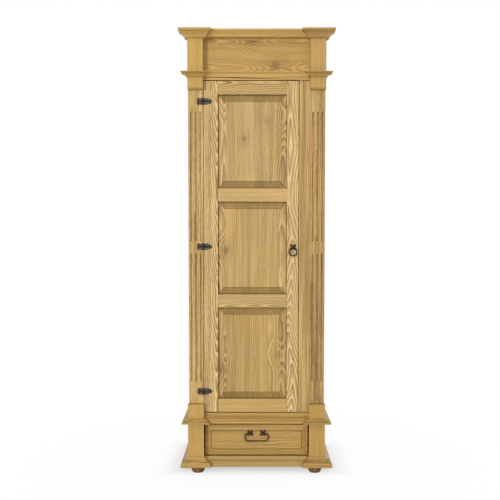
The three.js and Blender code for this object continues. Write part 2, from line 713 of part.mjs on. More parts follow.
// A rosette of petals with an eye in front of it, in the frame of the eye's axis
function rosetteGeometry() {
  const outline = [];
  const count = rosette.petals * rosette.steps * 2;
  for (let index = 0; index < count; index += 1) {
    const angle = 2 * Math.PI * index / count;
    const swell = Math.abs(Math.sin(angle * rosette.petals / 2));
    const radius = rosette.waist + (rosette.reach - rosette.waist) * swell;
    outline.push(new THREE.Vector2(radius * Math.cos(angle), radius * Math.sin(angle)));
  }
  const plateY = span(wire.standOff - rosette.plate, wire.standOff);
  const plate = extrudeAlong(outline, plateY, outRight, up);
  const { bossRadius, bossWidth } = rosette;
  const eye = new THREE.CylinderGeometry(bossRadius, bossRadius, bossWidth, rosette.eyeSides);
  eye.rotateZ(Math.PI / 2);
  const neck = slab(
    span(-bossWidth / 2, bossWidth / 2), span(0, plateY.high), span(-bossRadius, bossRadius),
  );
  const holeRadius = wire.radius + wire.play;
  const hole = new THREE.CylinderGeometry(holeRadius, holeRadius, bossWidth + overrun, rosette.eyeSides);
  hole.rotateZ(Math.PI / 2);
  return cut(join(plate, eye, neck), hole);
}

// The ring's centre line: a circle drawn up to a point where it passes through the eye
class PearCurve extends THREE.Curve {
  getPoint(share, target = new THREE.Vector3()) {
    const angle = 2 * Math.PI * share;
    const fromTop = Math.min(angle, 2 * Math.PI - angle);
    const bump = (ring.drop - ring.radius) * Math.exp(-((fromTop / ring.neckAngle) ** 2));
    const radius = ring.radius + bump;
    return target.set(radius * Math.sin(angle), 0, radius * Math.cos(angle) - ring.drop);
  }
}

// The bail's centre line: in through the eye, out, down round two corners and along the bar
function bailCurve() {
  const half = bail.width / 2 - wire.radius;
  const eye = bail.spread / 2;
  const path = new THREE.CurvePath();
  const left = [
    [-(eye - rosette.bossWidth / 2 - bail.pinEnd), 0], [-(eye + rosette.bossWidth), 0],
    [-half, 0], [-half, -bail.corner],
    [-half, -bail.drop], [-half + bail.corner, -bail.drop],
  ].map(([x, z]) => new THREE.Vector3(x, 0, z));
  const right = left.map((point) => new THREE.Vector3(-point.x, 0, point.z)).reverse();
  path.add(new THREE.LineCurve3(left[0], left[1]));
  path.add(new THREE.QuadraticBezierCurve3(left[1], left[2], left[3]));
  path.add(new THREE.QuadraticBezierCurve3(left[3], left[4], left[5]));
  path.add(new THREE.LineCurve3(left[5], right[0]));
  path.add(new THREE.QuadraticBezierCurve3(right[0], right[1], right[2]));
  path.add(new THREE.QuadraticBezierCurve3(right[2], right[3], right[4]));
  path.add(new THREE.LineCurve3(right[4], right[5]));
  return path;
}

function buildHandles() {
  const ringGroup = new THREE.Group();
  ringGroup.position.set(ringPivot.x, ringPivot.y, ringPivot.z);
  const ringTube = new THREE.TubeGeometry(new PearCurve(), ring.steps, wire.radius, wire.sides, true);
  ringGroup.add(mesh('ring_rosette', 'iron', rosetteGeometry()), mesh('door_ring', 'iron', ringTube));

  const bailGroup = new THREE.Group();
  bailGroup.position.set(bailPivot.x, bailPivot.y, bailPivot.z);
  for (const side of sides) {
    const plate = mesh(`bail_${sideName(side)}_rosette`, 'iron', rosetteGeometry());
    plate.position.x = side * bail.spread / 2;
    bailGroup.add(plate);
  }
  const wireSection = new THREE.Shape();
  wireSection.absarc(0, 0, wire.radius, 0, 2 * Math.PI);
  const bailTube = new THREE.ExtrudeGeometry(
    wireSection,
    { steps: bail.steps, curveSegments: wire.sides / 2, extrudePath: bailCurve(), bevelEnabled: false },
  );
  bailGroup.add(mesh('drawer_bail', 'iron', bailTube));
  return [ringGroup, bailGroup];
}

const wardrobe = new THREE.Group();
wardrobe.add(buildCarcass(), buildFront(), buildFeet(), buildFittings(), buildDoor(), buildDrawer());
wardrobe.add(...buildHinges(), ...buildHandles());
export default wardrobe;
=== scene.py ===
"""The finish of a pine wardrobe: waxed boards, blackened ironwork, and the room it is seen in.

Lengths are metres in the wardrobe's own frame: +Z up, the front faces -Y, +X to the right.
"""
import json
import math
from dataclasses import dataclass, replace

import bmesh
import bpy
import numpy as np
from mathutils import Matrix, Vector

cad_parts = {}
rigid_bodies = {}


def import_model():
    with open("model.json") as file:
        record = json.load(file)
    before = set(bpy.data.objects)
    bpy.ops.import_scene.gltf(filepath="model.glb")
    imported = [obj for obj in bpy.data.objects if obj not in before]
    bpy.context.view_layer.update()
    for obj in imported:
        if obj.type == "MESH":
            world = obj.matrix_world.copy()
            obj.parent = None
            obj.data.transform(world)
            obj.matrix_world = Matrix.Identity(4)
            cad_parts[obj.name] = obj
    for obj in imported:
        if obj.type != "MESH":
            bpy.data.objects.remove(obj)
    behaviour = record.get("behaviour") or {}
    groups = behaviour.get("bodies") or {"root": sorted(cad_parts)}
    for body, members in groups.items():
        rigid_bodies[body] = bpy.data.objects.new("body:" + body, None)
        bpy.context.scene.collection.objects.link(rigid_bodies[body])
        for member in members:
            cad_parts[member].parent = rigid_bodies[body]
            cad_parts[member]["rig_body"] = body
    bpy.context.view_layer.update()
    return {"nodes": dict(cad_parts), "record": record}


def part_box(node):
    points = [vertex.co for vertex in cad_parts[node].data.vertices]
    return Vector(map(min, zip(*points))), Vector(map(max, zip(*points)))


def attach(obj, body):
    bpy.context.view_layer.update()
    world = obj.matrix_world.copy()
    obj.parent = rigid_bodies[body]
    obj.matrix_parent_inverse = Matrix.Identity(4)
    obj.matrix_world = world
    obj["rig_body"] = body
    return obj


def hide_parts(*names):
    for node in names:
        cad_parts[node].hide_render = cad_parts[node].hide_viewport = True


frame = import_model()

bl_info = {
    "name": "Pine wardrobe finish",
    "version": (1, 0, 0),
    "blender": (4, 5, 0),
    "location": "3D View > Sidebar > Wardrobe",
    "description": "Waxed pine boards, blackened ironwork and a plain stage for a panelled wardrobe",
    "category": "Object",
}

MERGE = 1e-6
FLAT_ANGLE = math.radians(0.3)
SOFT_ANGLE = math.radians(50)
X, Y, Z = range(3)

# The room: name, width and colour of each lamp, then lengths in metres
LAMPS = (
    ("key", math.radians(12), (1.0, 0.99, 0.97)),
    ("fill", math.radians(60), (0.97, 0.985, 1.0)),
    ("overhead", math.radians(60), (1.0, 1.0, 1.0)),
    ("back", math.radians(60), (1.0, 1.0, 1.0)),
)
LAMP_FAR = 4.0
FLOOR_HALF = 40.0
FLOOR_ROUGHNESS = 0.9
FLOOR_NEAR = 0.35
UNDER_HALF = (0.29, 0.14)
UNDER_FADE = 0.18
CAMERA_NEAR = 0.05

# Places and sizes that the pieces share with the solids, in metres
FACE_Y = -0.242
BLOCK_FACE = FACE_Y - 0.02
BLOCK_IN = 0.2395
UPPER_OUT = 0.3095
LOWER_OUT = 0.312
MOULDED = ("cornice_", "architrave_", "waist_", "base_left", "base_centre", "base_right")
IN_GROOVE = 0.008
TONGUE_FACE = 0.011
TONGUE = 0.006
FIELD_FACE = 0.004
SIDE_SLOPE = 0.025
END_SLOPE = 0.032
# Where the steps of a raised panel start from: how far in across and up, and how deep
EDGE = (0, 0, TONGUE_FACE)
GROOVE = (IN_GROOVE, IN_GROOVE, TONGUE_FACE)
FIELD = (IN_GROOVE + SIDE_SLOPE, IN_GROOVE + END_SLOPE, FIELD_FACE)
# Each step: its start, how much further across, up and in depth it goes, and how much painted shade lies
# there
PANEL_STEPS = (
    (EDGE, (0, 0, TONGUE), 0), (EDGE, (0, 0, 0), 0), (GROOVE, (0, 0, 0), 1.0),
    (GROOVE, (0.0016, 0.002, -0.0004), 0.75), (GROOVE, (0.004, 0.0051, -0.001), 0),
    (FIELD, (-0.003, -0.0036, 0.0021), 0), (FIELD, (-0.0006, -0.0006, 0.0015), 0.3),
    (FIELD, (0, 0, 0.0013), 0.35), (FIELD, (0.0001, 0.0001, 0.0006), 0.15),
    (FIELD, (0.0004, 0.0004, 0.0002), 0), (FIELD, (0.0009, 0.0009, 0), 0),
)
# Gap that keeps a piece's face out of the face it sits on
SEAT = 0.0003
# Radius of a foot's sole, belly and top, its height, then the share of it where the belly is, and how
# far the lower edge is rounded in and up
FOOT = (0.0245, 0.0325, 0.031, 0.035)
FOOT_BELLY = 2 / 3
FOOT_ROUND = 0.0012
FOOT_EASE = 0.0006
FOOT_SIDES = 64
STAINED = {"grain": X, "tone": 0.66, "warmth": 1.0, "contrast": 0.8}
CURVE_STEPS = 12
END_STEPS = 5
WIRE_SIDES = 18
WIRE_RADIUS = 0.0028
PETAL_STEPS = 96
PETAL_RINGS = 9
PETAL_WAIST = 0.007
PETAL_REACH = 0.0175
PLATE_RIM = 0.0008
PLATE_RISE = 0.0014
PETAL_RISE = 0.0007
WALL_GAP = 0.008
EYE_RADIUS = 0.0051
EYE_THICK = 0.0015
EYE_WIDE = 0.0026
EYE_STEPS = 29
EYE_SIDES = 14
HANDLE_Y = FACE_Y - SEAT - WALL_GAP
RING_PIVOT = (0.1645, HANDLE_Y, 1.03475)
RING_RADIUS = 0.0168
RING_DROP = 0.0227
RING_NECK = 0.6
RING_STEPS = 96
BAIL_PIVOT = (0.0, HANDLE_Y, 0.1835)
BAIL_HALF = 0.029
BAIL = ((-0.0195, 0), (-0.034, 0), (-0.0532, 0), (-0.0532, -0.015), (-0.0532, -0.0347), (-0.0382, -0.0347))
ROSETTES = (
    ("ring_rosette", "door", RING_PIVOT),
    ("bail_left_rosette", "drawer", (-BAIL_HALF, HANDLE_Y, BAIL_PIVOT[Z])),
    ("bail_right_rosette", "drawer", (BAIL_HALF, HANDLE_Y, BAIL_PIVOT[Z])),
)
HINGE_X = -0.24
HINGE_PLATE_Y = -0.2448
# Shares of a screw head's radius, and how many places its side and its lines have
SLOT_SHARE = 0.16
SLOT_DEPTH = 0.22
HEAD_RISE = 0.3
HEAD_SHOULDER = 1.15
HEAD_RIM = 0.999
HEAD_SIDE = 6
HEAD_STEPS = 13
# Each screw of a hinge leaf: how far from the pin, how high, radius, turn of the slot
SCREWS = (
    (0.0105, 0.008, 0.003, 0.5), (0.0105, -0.008, 0.003, 2.1), (0.0175, 0.008, 0.003, 1.2),
    (0.0175, -0.008, 0.003, 2.8), (0.029, 0.0000, 0.0024, 0.9),
)


def number_property(name, description, default, **settings):
    return bpy.props.FloatProperty(name=name, description=description, default=default, **settings)


def angle_property(name, description, degrees):
    return number_property(name, description, math.radians(degrees), subtype="ANGLE")


def colour_property(name, description, default):
    return bpy.props.FloatVectorProperty(
        name=name, description=description, default=default, subtype="COLOR", size=3)


def way_property(name, turn, height):
    way = (math.radians(turn), math.radians(height))
    return bpy.props.FloatVectorProperty(
        name=f"{name} direction", description="Turn of the lamp from the front to the right, and its height",
        default=way, subtype="EULER", size=2)


class WardrobeSizes(bpy.types.PropertyGroup):
    """Sizes of the detail that the joiner and the smith add to the plain pieces."""

    arris: number_property("Arris", "Width of the softened edge of a board", 0.0009, unit="LENGTH")
    iron_edge: number_property("Iron edge", "Width of the filed edge of the ironwork", 0.0004, unit="LENGTH")
    curved: angle_property("Curved pieces", "Edges sharper than this stay crisp on curved pieces", 34)
    flat: angle_property("Flat pieces", "Edges sharper than this stay crisp on flat boards", 5)


class WardrobeColours(bpy.types.PropertyGroup):
    """Colours of the finishes, linear."""

    early: colour_property("Early wood", "Pale wood between two rings", (0.755, 0.539, 0.252))
    late: colour_property("Late wood", "Dark line of each ring", (0.32, 0.196, 0.065))
    knot: colour_property("Knot", "Heart of a knot", (0.22, 0.12, 0.048))
    iron: colour_property("Iron", "Blackened iron of the hinges", (0.023, 0.022, 0.02))
    browned_iron: colour_property("Browned iron", "Iron of the handles", (0.05, 0.026, 0.016))
    rust: colour_property("Rust", "Brown patches on the iron", (0.07, 0.032, 0.018))
    screw: colour_property("Screws", "Rubbed heads of the screws", (0.13, 0.13, 0.125))
    steel: colour_property("Steel", "Plated tube and sockets", (0.6, 0.61, 0.62))
    dull_steel: colour_property("Dull steel", "Smears on the plated steel", (0.45, 0.45, 0.45))
    plastic: colour_property("Plastic", "Housing of the magnet", (0.15, 0.08, 0.035))
    dark_plastic: colour_property("Dark plastic", "Clouds in the plastic", (0.09, 0.05, 0.025))


class WardrobeStage(bpy.types.PropertyGroup):
    """The camera, the lamps and the floor."""

    camera_place: bpy.props.FloatVectorProperty(
        name="Camera", description="Where the camera stands", default=(0.0, -3.762, 1.09),
        subtype="TRANSLATION", size=3)
    camera_tilt: angle_property("Tilt", "How far the camera looks down", 2.9)
    camera_roll: angle_property("Roll", "How far the camera leans", -0.05)
    lens: number_property("Lens", "Focal length in millimetres on a 36 mm sensor", 55.97)
    shift: bpy.props.FloatVectorProperty(
        name="Shift", description="How far the view is moved sideways and up, as a share of its width",
        default=(-0.0132, 0.0484), size=2)
    sky: number_property("Sky", "Even light from all round", 0.32)
    key: number_property("Key", "Strength of the wide lamp at the left", 1.34)
    key_way: way_property("Key", -37, 8)
    fill: number_property("Fill", "Strength of the wide lamp at the right", 0.45)
    fill_way: way_property("Fill", 48, 6)
    overhead: number_property("Overhead", "Strength of the wide lamp above", 0.6)
    overhead_way: way_property("Overhead", -10, 57)
    back: number_property("Back", "Strength of the wide lamp behind", 1.0)
    back_way: way_property("Back", 146, 28)
    floor: colour_property("Floor", "Colour of the floor", (0.88, 0.88, 0.88))
    floor_near: number_property(
        "Near floor", "Share of plain white that is seen in the floor round the wardrobe", 0.95,
        subtype="FACTOR", min=0, max=1)
    floor_under: number_property(
        "Floor underneath", "Share of plain white that is seen in the floor under the wardrobe", 0.5,
        subtype="FACTOR", min=0, max=1)
    floor_far: number_property(
        "Far floor", "Distance at which the floor is seen as plain white", 1.3, unit="LENGTH")


# Shader maths


def operation(kind, swapped=False):
    """A method that puts a Math node behind a number and what it is combined with."""
    def method(self, *others):
        return self.math(kind, *others, self) if swapped else self.math(kind, self, *others)
    return method


@dataclass(eq=False)
class Number:
    """A number inside a shader: the usual operators put Math nodes behind it."""

    shader: object
    socket: object

    def math(self, kind, *values):
        node = self.shader.node("Math", dict(enumerate(values)), operation=kind)
        return Number(self.shader, node.outputs[0])

    __add__ = __radd__ = operation("ADD")
    __sub__ = operation("SUBTRACT")
    __rsub__ = operation("SUBTRACT", swapped=True)
    __mul__ = __rmul__ = operation("MULTIPLY")
    __truediv__ = operation("DIVIDE")
    __abs__ = operation("ABSOLUTE")
    above = operation("GREATER_THAN")
    exp = operation("EXPONENT")
    floor = operation("FLOOR")
    fraction = operation("FRACT")
    least = operation("MINIMUM")
    most = operation("MAXIMUM")
    root = operation("SQRT")
    sign = operation("SIGN")

    def rise(self, start, end):
        """0 below start, 1 above end, and an S-curve between them."""
        values = {"Value": self, "From Min": start, "From Max": end}
        node = self.shader.node("MapRange", values, interpolation_type="SMOOTHSTEP")
        return Number(self.shader, node.outputs[0])


def opaque(colour):
    """A colour with full cover, or a socket as it is."""
    return (*colour, 1) if isinstance(colour, tuple) else colour


class Nodes:
    """A node tree, and short ways to add nodes to it."""

    def __init__(self, tree):
        self.tree = tree

    def node(self, kind, values=None, **settings):
        """Adds a shader node with these settings. The values are what its sockets hold or are linked to."""
        node = self.tree.nodes.new(f"ShaderNode{kind}")
        for key, value in settings.items():
            setattr(node, key, value)
        for key, value in (values or {}).items():
            self.put(node.inputs[key], value)
        return node

    def put(self, socket, value):
        """Links a number or a socket to a socket, or gives it a constant."""
        if isinstance(value, Number):
            value = value.socket
        if isinstance(value, bpy.types.NodeSocket):
            self.tree.links.new(value, socket)
        else:
            socket.default_value = value

    def vector(self, *places):
        return self.node("CombineXYZ", dict(enumerate(places))).outputs[0]

    def noise(self, x, y, z, detail=2.0, roughness=0.5):
        values = {"Vector": self.vector(x, y, z), "Scale": 1.0, "Detail": detail, "Roughness": roughness}
        return Number(self, self.node("TexNoise", values).outputs[0])

    def chance(self, *places):
        """Three random numbers for each whole-number place."""
        noise = self.node("TexWhiteNoise", {"Vector": self.vector(*places)})
        parts = self.node("SeparateColor", {0: noise.outputs["Color"]})
        return [Number(self, socket) for socket in parts.outputs]

    def mix(self, share, first, second, blend="MIX"):
        """Colours: first where share is 0, second where it is 1."""
        values = {0: share, 6: opaque(first), 7: opaque(second)}
        return self.node("Mix", values, data_type="RGBA", blend_type=blend).outputs[2]

    def tint(self, colour, tint):
        """A colour times another one."""
        return self.mix(1.0, colour, tint, "MULTIPLY")

    def dim(self, colour, light):
        """A colour times a number."""
        grey = self.node("CombineColor", {0: light, 1: light, 2: light})
        return self.tint(colour, grey.outputs[0])


class Shader(Nodes):
    """A new material with one Principled shader."""

    def __init__(self, name):
        self.material = bpy.data.materials.new(name)
        self.material.use_nodes = True
        super().__init__(self.material.node_tree)
        self.surface = self.tree.nodes["Principled BSDF"]
        self.texture = self.node("TexCoord")

    def axes(self, output="Object"):
        parts = self.node("SeparateXYZ", {0: self.texture.outputs[output]})
        return [Number(self, socket) for socket in parts.outputs]

    def speckle(self, x, y, z, detail=2.0):
        """A noise with so many turns a metre along X, Y and Z."""
        return self.noise(*[place * turns for place, turns in zip(self.axes(), (x, y, z))], detail)

    def soil(self):
        """Painted shade: 1 where the mesh is marked for it and deep in the corners of the piece, as ambient
        occlusion finds them, 0 on open faces.
        """
        marked = self.node("Attribute", attribute_name="soil")
        corners = self.node(
            "AmbientOcclusion", {"Distance": HOLLOW_REACH}, only_local=True, samples=HOLLOW_SAMPLES)
        return Number(self, marked.outputs["Fac"]).most(1 - Number(self, corners.outputs["AO"]))

    def finish(self, colour, roughness, metallic=0.0, bump=None, relief=0.0, shine=0.5):
        """Fills the Principled shader: the bump is a height in units of relief."""
        values = {
            "Base Color": opaque(colour), "Roughness": roughness, "Metallic": metallic,
            "Specular IOR Level": shine}
        if bump is not None:
            node = self.node("Bump", {"Height": bump, "Distance": relief, "Strength": 1.0})
            values["Normal"] = node.outputs[0]
        for key, value in values.items():
            self.put(self.surface.inputs[key], value)
        return self.material


# Pine


@dataclass(frozen=True)
class Grain:
    """A noise of the wood: turns a metre across and along the fibres, and which way the seed moves it."""

    across: float
    along: float
    detail: float = 2.0
    roughness: float = 0.5
    way: int = 1


QUICK = Grain(30, 9)
FIBRE = Grain(500, 16)
STREAK = Grain(110, 2.2, roughness=0.6)
CLOUD = Grain(6, 1.8, way=-1)
BAND = Grain(60, 2.2, detail=2.5, way=-1)
FLECK = Grain(150, 42, detail=1.0)
# The slow sway's turns a metre across, and the share of a cut's flow that the heart's drift has
SLOW_ACROSS, DRIFT_FLOW = 5, 0.8
# Seeds: their step from board to board, and how far chance moves the figure and the joints of a strip
SEED_STEP, SEED_REACH, JOINT_REACH, JOINT_DRAW = 3.7, 9, 7, 0.5

# Where the clear edges of a pattern start and end
BAND_EDGE = (0.34, 0.66)
FLECK_EDGE = (0.4, 0.66)
FLECK_REST = 0.4
END_GRAIN_EDGE = (0.06, 0.22)
KNOT_EDGE = (0.3, 1.2)

# A ring across its width: where its pale and dark parts come and go, and the tones of all three parts
PALE_COMES, PALE_GOES = (0.0, 0.1), (0.12, 0.45)
DARK_COMES, DARK_GOES = (0.45, 0.92), (0.94, 1.0)
RING_TONE, PALE_TONE, DARK_TONE = 0.42, 0.55, 0.58

# The heart of a strip: least distance to the side and how much more, least depth and how much more
HEART_SIDE, HEART_SIDE_MORE = 0.6, 0.7
HEART_DEEP, HEART_DEEP_MORE = 0.75, 0.5

# Knots: length over width, roughness of the rim, then the tone round one and the bend of the rings
KNOT_LENGTH, KNOT_ROUGH = 1.35, 1.2
HALO_FALL, HALO_DARK, HALO_LINES, HALO_RED = 0.16, 0.22, 1.2, 0.25
BEND_FALL, BEND = 0.07, 1.6
KNOT_SHARE = 0.75
# Scattered knots: bare share of the board's ends and sides, least and greatest radius and depth of tone
BARE_END, BARE_SIDE = 0.04, 0.08
KNOT_RADII = (0.008, 0.018)
KNOT_DEPTHS = (0.6, 1.0)

# Painted shade, in metres: reach of the corners, width of a drawn line, of its mitres and of a joint
HOLLOW_REACH = 0.007
HOLLOW_SAMPLES = 6
LINE_WIDTH, LINE_START, MITRE_WIDTH = 0.003, 0.001, 0.0024
MITRE_TONE = 0.6
JOINT_SHADE = 0.006

# Width of the first glued strip, and the yellowness that each finish has unless its cut says otherwise
STRIP_WIDTH = 0.04
WAXED_GOLD = 0.69
PALE_GOLD = 0.345

# Tones: usual tone of the wood, and how strongly each pattern changes the tone, light, redness and yellowness
WOOD_TONE, FIBRE_TONE, END_LINES = 0.45, 0.4, 0.45
CALM_FIGURE = 0.2
CLOUD_LIGHT, CLOUD_RED, SHADE_RED, PIECE_RED, STRIP_RED = 0.34, 0.25, 0.3, 0.1, 2
END_GOLD = 0.5
REDDER = (0.84, 0.69, 0.6)
GOLDEN = (1.03, 0.955, 0.6)

# The waxed surface: roughness, what changes it, shine, and the relief of rings, fibres and streaks
WAX, RING_WAX, FIBRE_WAX, END_WAX = 0.52, 0.08, 0.16, 0.15
SHINE = 0.35
RELIEF = 0.00022
RING_RELIEF, FIBRE_RELIEF, STREAK_RELIEF = 0.4, 0.35, 0.25


@dataclass(frozen=True)
class Cut:
    """How a board was sawn and glued up. Lengths are metres, the rest are plain numbers."""

    grain: int = -1         # axis that the fibres follow, -1 for the board's longest side
    ring: float = 0.004    # distance between two rings
    pith: float = 0.045     # how far behind the face the heart of the tree lies
    spread: float = 0.1    # how far to either side the heart may lie
    sway: float = 0.03     # slow wandering of the rings
    flow: float = 1.2       # how many times a metre the slow wandering turns
    ripple: float = 0.0035  # quick wandering of the rings
    wander: float = 0.0     # how far the heart drifts sideways along the board
    strips: tuple = ()      # (right edge, tone, spread, figure) of each strip it is glued up from
    stave: float = 0.0      # width of even strips, 0 for one piece
    joint: float = 0.0      # length of finger-jointed strips, 0 for full length
    uneven: float = 0.1    # how much the strips differ in tone
    contrast: float = 0.85  # strength of the rings
    late: float = 1.0       # strength of the dark line of each ring
    streaks: float = 0.6    # strength of the fine lines along the fibres
    bands: float = 0.0      # strength of the broad streaks with clear edges
    flecks: float = 0.05    # strength of the short flecks
    lively: tuple = ()      # (start, end) along the board between which the figure comes up
    corner_shade: float = 0.6      # how dark the painted shade in the corners and grooves is
    end: float = 0.42       # how much darker the slopes across the fibres are
    line: tuple = ()        # (half along, half across) of a rectangle drawn in painted shade along a step
    joints: float = 0.0     # how dark the joints at both ends of the board are, with painted shade under and over the mouldings
    tone: float = 1.0       # brightness
    warmth: float = 0.0     # 1 is as red as the stained feet
    gold: float = -1.0      # yellowness from 0 to 1, below 0 for the usual one of its finish
    climb: float = 0.0      # how fast the rings rise along the board
    climb_end: float = 9.0  # place along the board, from its middle, where they stop rising
    knots: tuple = ()       # (along, across, radius, depth of tone) in the wardrobe's frame
    scattered: int = 0      # how many more knots lie where chance put them
    seed: float = 0.0


def board_axes(box, grain):
    """(across, depth, along): along is the grain or the longest side, depth the thinnest of the rest."""
    low, high = box
    size = [high[axis] - low[axis] for axis in (X, Y, Z)]
    along = grain if grain >= 0 else size.index(max(size))
    across, depth = sorted((axis for axis in (X, Y, Z) if axis != along), key=lambda axis: -size[axis])
    return across, depth, along


def stepped(across, edges, values):
    """A number that changes at each edge: the values run from left to right."""
    level = across * 0 + values[0]
    for edge, before, value in zip(edges, values, values[1:]):
        level = level + across.above(edge) * (value - before)
    return level


def glued_strips(across, cut):
    """(number, place within, tone, spread, figure) of the strip that a place lies in."""
    if cut.strips:
        edges = [row[0] for row in cut.strips]
        starts = [edges[0] - STRIP_WIDTH, *edges]
        middles = [(start + end) / 2 for start, end in zip(starts, edges)]
        columns = [range(len(edges)), middles, *list(zip(*cut.strips))[1:]]
        number, middle, tone, spread, figure = [stepped(across, edges[:-1], column) for column in columns]
        return number, across - middle, tone, spread, figure
    number = (across / cut.stave + 0.5).floor() if cut.stave else across * 0
    return number, across - number * cut.stave, 1.0, cut.spread, across * 0 + 1.0


def knots_of(middle, size, order, cut):
    """The knots of a board from its middle: those its cut names and the scattered ones, always the same."""
    across, _, along = order
    knots = [(end - middle[along], side - middle[across], *rest) for end, side, *rest in cut.knots]
    chance = np.random.default_rng(int(cut.seed * 10)).random((cut.scattered, 4))
    for u, v, w, t in chance.tolist():
        knots.append((
            size[along] * (BARE_END + (1 - 2 * BARE_END) * u - 0.5),
            size[across] * (BARE_SIDE + (1 - 2 * BARE_SIDE) * v - 0.5),
            KNOT_RADII[0] + (KNOT_RADII[1] - KNOT_RADII[0]) * w,
            KNOT_DEPTHS[0] + (KNOT_DEPTHS[1] - KNOT_DEPTHS[0]) * t))
    return knots


def round_knots(across, along, quick, reach, knots):
    """(heart, halo, reach): the dark heart of the knots, the tone round it, and rings that bend round both.

    All three fall with the square of the distance from the knot, which counts less along the fibres.
    """
    heart = halo = across * 0
    for end, side, radius, tone in knots:
        off = (across - side) / radius
        on = (along - end) / (radius * KNOT_LENGTH)
        square = off * off + on * on
        edge = square.root() + (quick - 0.5) * KNOT_ROUGH
        heart = heart.most((1 - edge.rise(*KNOT_EDGE)) * tone)
        halo = halo.most((square * -HALO_FALL).exp() * tone)
        reach = reach + (square * -BEND_FALL).exp() * (radius * BEND)
    return heart, halo, reach


def painted_shade_on(shader, across, along, half_length, cut):
    """Painted shade: 0 on open wood, up to 1 in corners, along a drawn rectangle and in the joints at the
    ends.
    """
    soil = shader.soil()
    if cut.line:
        past_end, past_side = abs(along) - cut.line[0], abs(across) - cut.line[1]
        outside = past_end.most(past_side)
        mitre = (1 - abs(past_end - past_side).rise(0.0, MITRE_WIDTH)) * outside.rise(0.0, LINE_START)
        soil = soil.most(1 - abs(outside).rise(0.0, LINE_WIDTH)).most(mitre * MITRE_TONE)
    if cut.joints:
        soil = soil.most((1 - (half_length - abs(along)).rise(0.0, JOINT_SHADE)) * cut.joints)
    return soil


def pine(name, box, cut):
    """Rings round a heart that lies behind the face: distance from it, over the ring's width, is the figure.

    The distance sways along the board, which draws the arches of a slash-sawn face, and swells at each
    knot, so that the lines run round it. Each glued strip has a heart, a tone and a stretch of its own.
    Each ring starts pale, darkens slowly and ends in a dark line.
    """
    colours = bpy.context.scene.wardrobe_colours
    shader = Shader(name)
    order = board_axes(box, cut.grain)
    middle = [(low + high) / 2 for low, high in zip(*box)]
    size = [high - low for low, high in zip(*box)]
    places = shader.axes()
    across, depth, along = [places[axis] - middle[axis] for axis in order]

    strip, inside, strip_tone, spread, figure = glued_strips(across, cut)
    length = across * 0
    if cut.joint:
        start = shader.chance(strip, cut.seed, JOINT_DRAW)[0]
        length = (along / cut.joint + start * JOINT_REACH).floor()
    first, second, third = shader.chance(strip, length, cut.seed)
    far = third * SEED_REACH + cut.seed

    def noise(grain):
        fine = [across * grain.across, depth * grain.across, along * grain.along + far * grain.way]
        return shader.noise(*fine, grain.detail, grain.roughness)

    slow = noise(Grain(SLOW_ACROSS, cut.flow, detail=1.0))
    quick = noise(QUICK)
    drift = shader.noise(along * (cut.flow * DRIFT_FLOW) - far, strip, 0.0, detail=1.0)
    away = (third - 0.5).sign() * (first * HEART_SIDE_MORE + HEART_SIDE) * spread
    side = inside - away - (drift - 0.5) * (2 * cut.wander)
    deep = depth + (second * HEART_DEEP_MORE + HEART_DEEP) * cut.pith
    wild = figure * figure
    reach = (side * side + deep * deep).root() + (slow - 0.5) * (2 * cut.sway) * wild
    reach = reach + (quick - 0.5) * (2 * cut.ripple) + along.least(cut.climb_end) * cut.climb * wild
    knots = knots_of(middle, size, order, cut)
    heart, halo, reach = round_knots(across, along, quick, reach, knots)

    turn = (reach / cut.ring).fraction()
    pale = turn.rise(*PALE_COMES) * (1 - turn.rise(*PALE_GOES))
    dark = turn.rise(*DARK_COMES) * (1 - turn.rise(*DARK_GOES))
    ring = RING_TONE - pale * PALE_TONE + dark * (DARK_TONE * cut.late)
    fibre, streak, cloud = noise(FIBRE), noise(STREAK), noise(CLOUD)
    band = noise(BAND).rise(*BAND_EDGE)
    fleck = noise(FLECK).rise(*FLECK_EDGE)

    strength = figure * cut.contrast
    if cut.lively:
        strength = strength * (along.rise(*cut.lively) * (1 - CALM_FIGURE) + CALM_FIGURE)
    end_grain = abs(shader.axes("Normal")[order[2]]).rise(*END_GRAIN_EDGE)
    lines = (ring - RING_TONE) * (1 + halo * HALO_LINES) * strength
    lines = lines + (band - 0.5) * cut.bands + (streak - 0.5) * cut.streaks
    tone = WOOD_TONE + lines * (1 - end_grain * END_LINES)
    tone = tone + (fibre - 0.5) * FIBRE_TONE + (fleck - FLECK_REST) * cut.flecks
    colour = shader.mix(tone.most(0).least(1), colours.early[:], colours.late[:])

    # Painted shade of the corners, steps and joints darkens the wood and makes it redder
    soil = painted_shade_on(shader, across, along, size[order[2]] / 2, cut)
    light = (1 + (second - 0.5) * (2 * cut.uneven) + (cloud - 0.5) * CLOUD_LIGHT) * cut.tone * strip_tone
    light = light * (1 - end_grain * cut.end) * (1 - halo * HALO_DARK) * (1 - soil.least(1) * cut.corner_shade)
    colour = shader.dim(colour, light)
    redness = (third - 0.5) * (PIECE_RED + cut.uneven * STRIP_RED) + (cloud - 0.5) * CLOUD_RED
    redness = redness + cut.warmth + halo * HALO_RED + soil * SHADE_RED
    colour = shader.mix(redness.most(0).least(1), colour, shader.tint(colour, REDDER))
    colour = shader.mix((end_grain * END_GOLD + cut.gold).least(1), colour, shader.tint(colour, GOLDEN))
    if knots:
        colour = shader.mix(heart * KNOT_SHARE, colour, colours.knot[:])
    roughness = WAX - ring * RING_WAX + (fibre - 0.5) * FIBRE_WAX + end_grain * END_WAX
    height = ring * RING_RELIEF + fibre * FIBRE_RELIEF + streak * STREAK_RELIEF
    return shader.finish(colour, roughness, bump=height, relief=RELIEF, shine=SHINE)


# Patterns in iron, steel and plastic: turns a metre along X, Y and Z, and their relief in metres
DENTS = 260.0
GRIT, PATCHES, IRON_RELIEF = (1400, 1400, 1400), (60, 60, 60), 0.0004
DRAWN_LINES, SMEARS, STEEL_RELIEF = (12, 1600, 1600), (20, 20, 20), 0.00002
PLASTIC_GRAIN, PLASTIC_CLOUDS, PLASTIC_RELIEF = (2200, 2200, 2200), (70, 70, 70), 0.00006
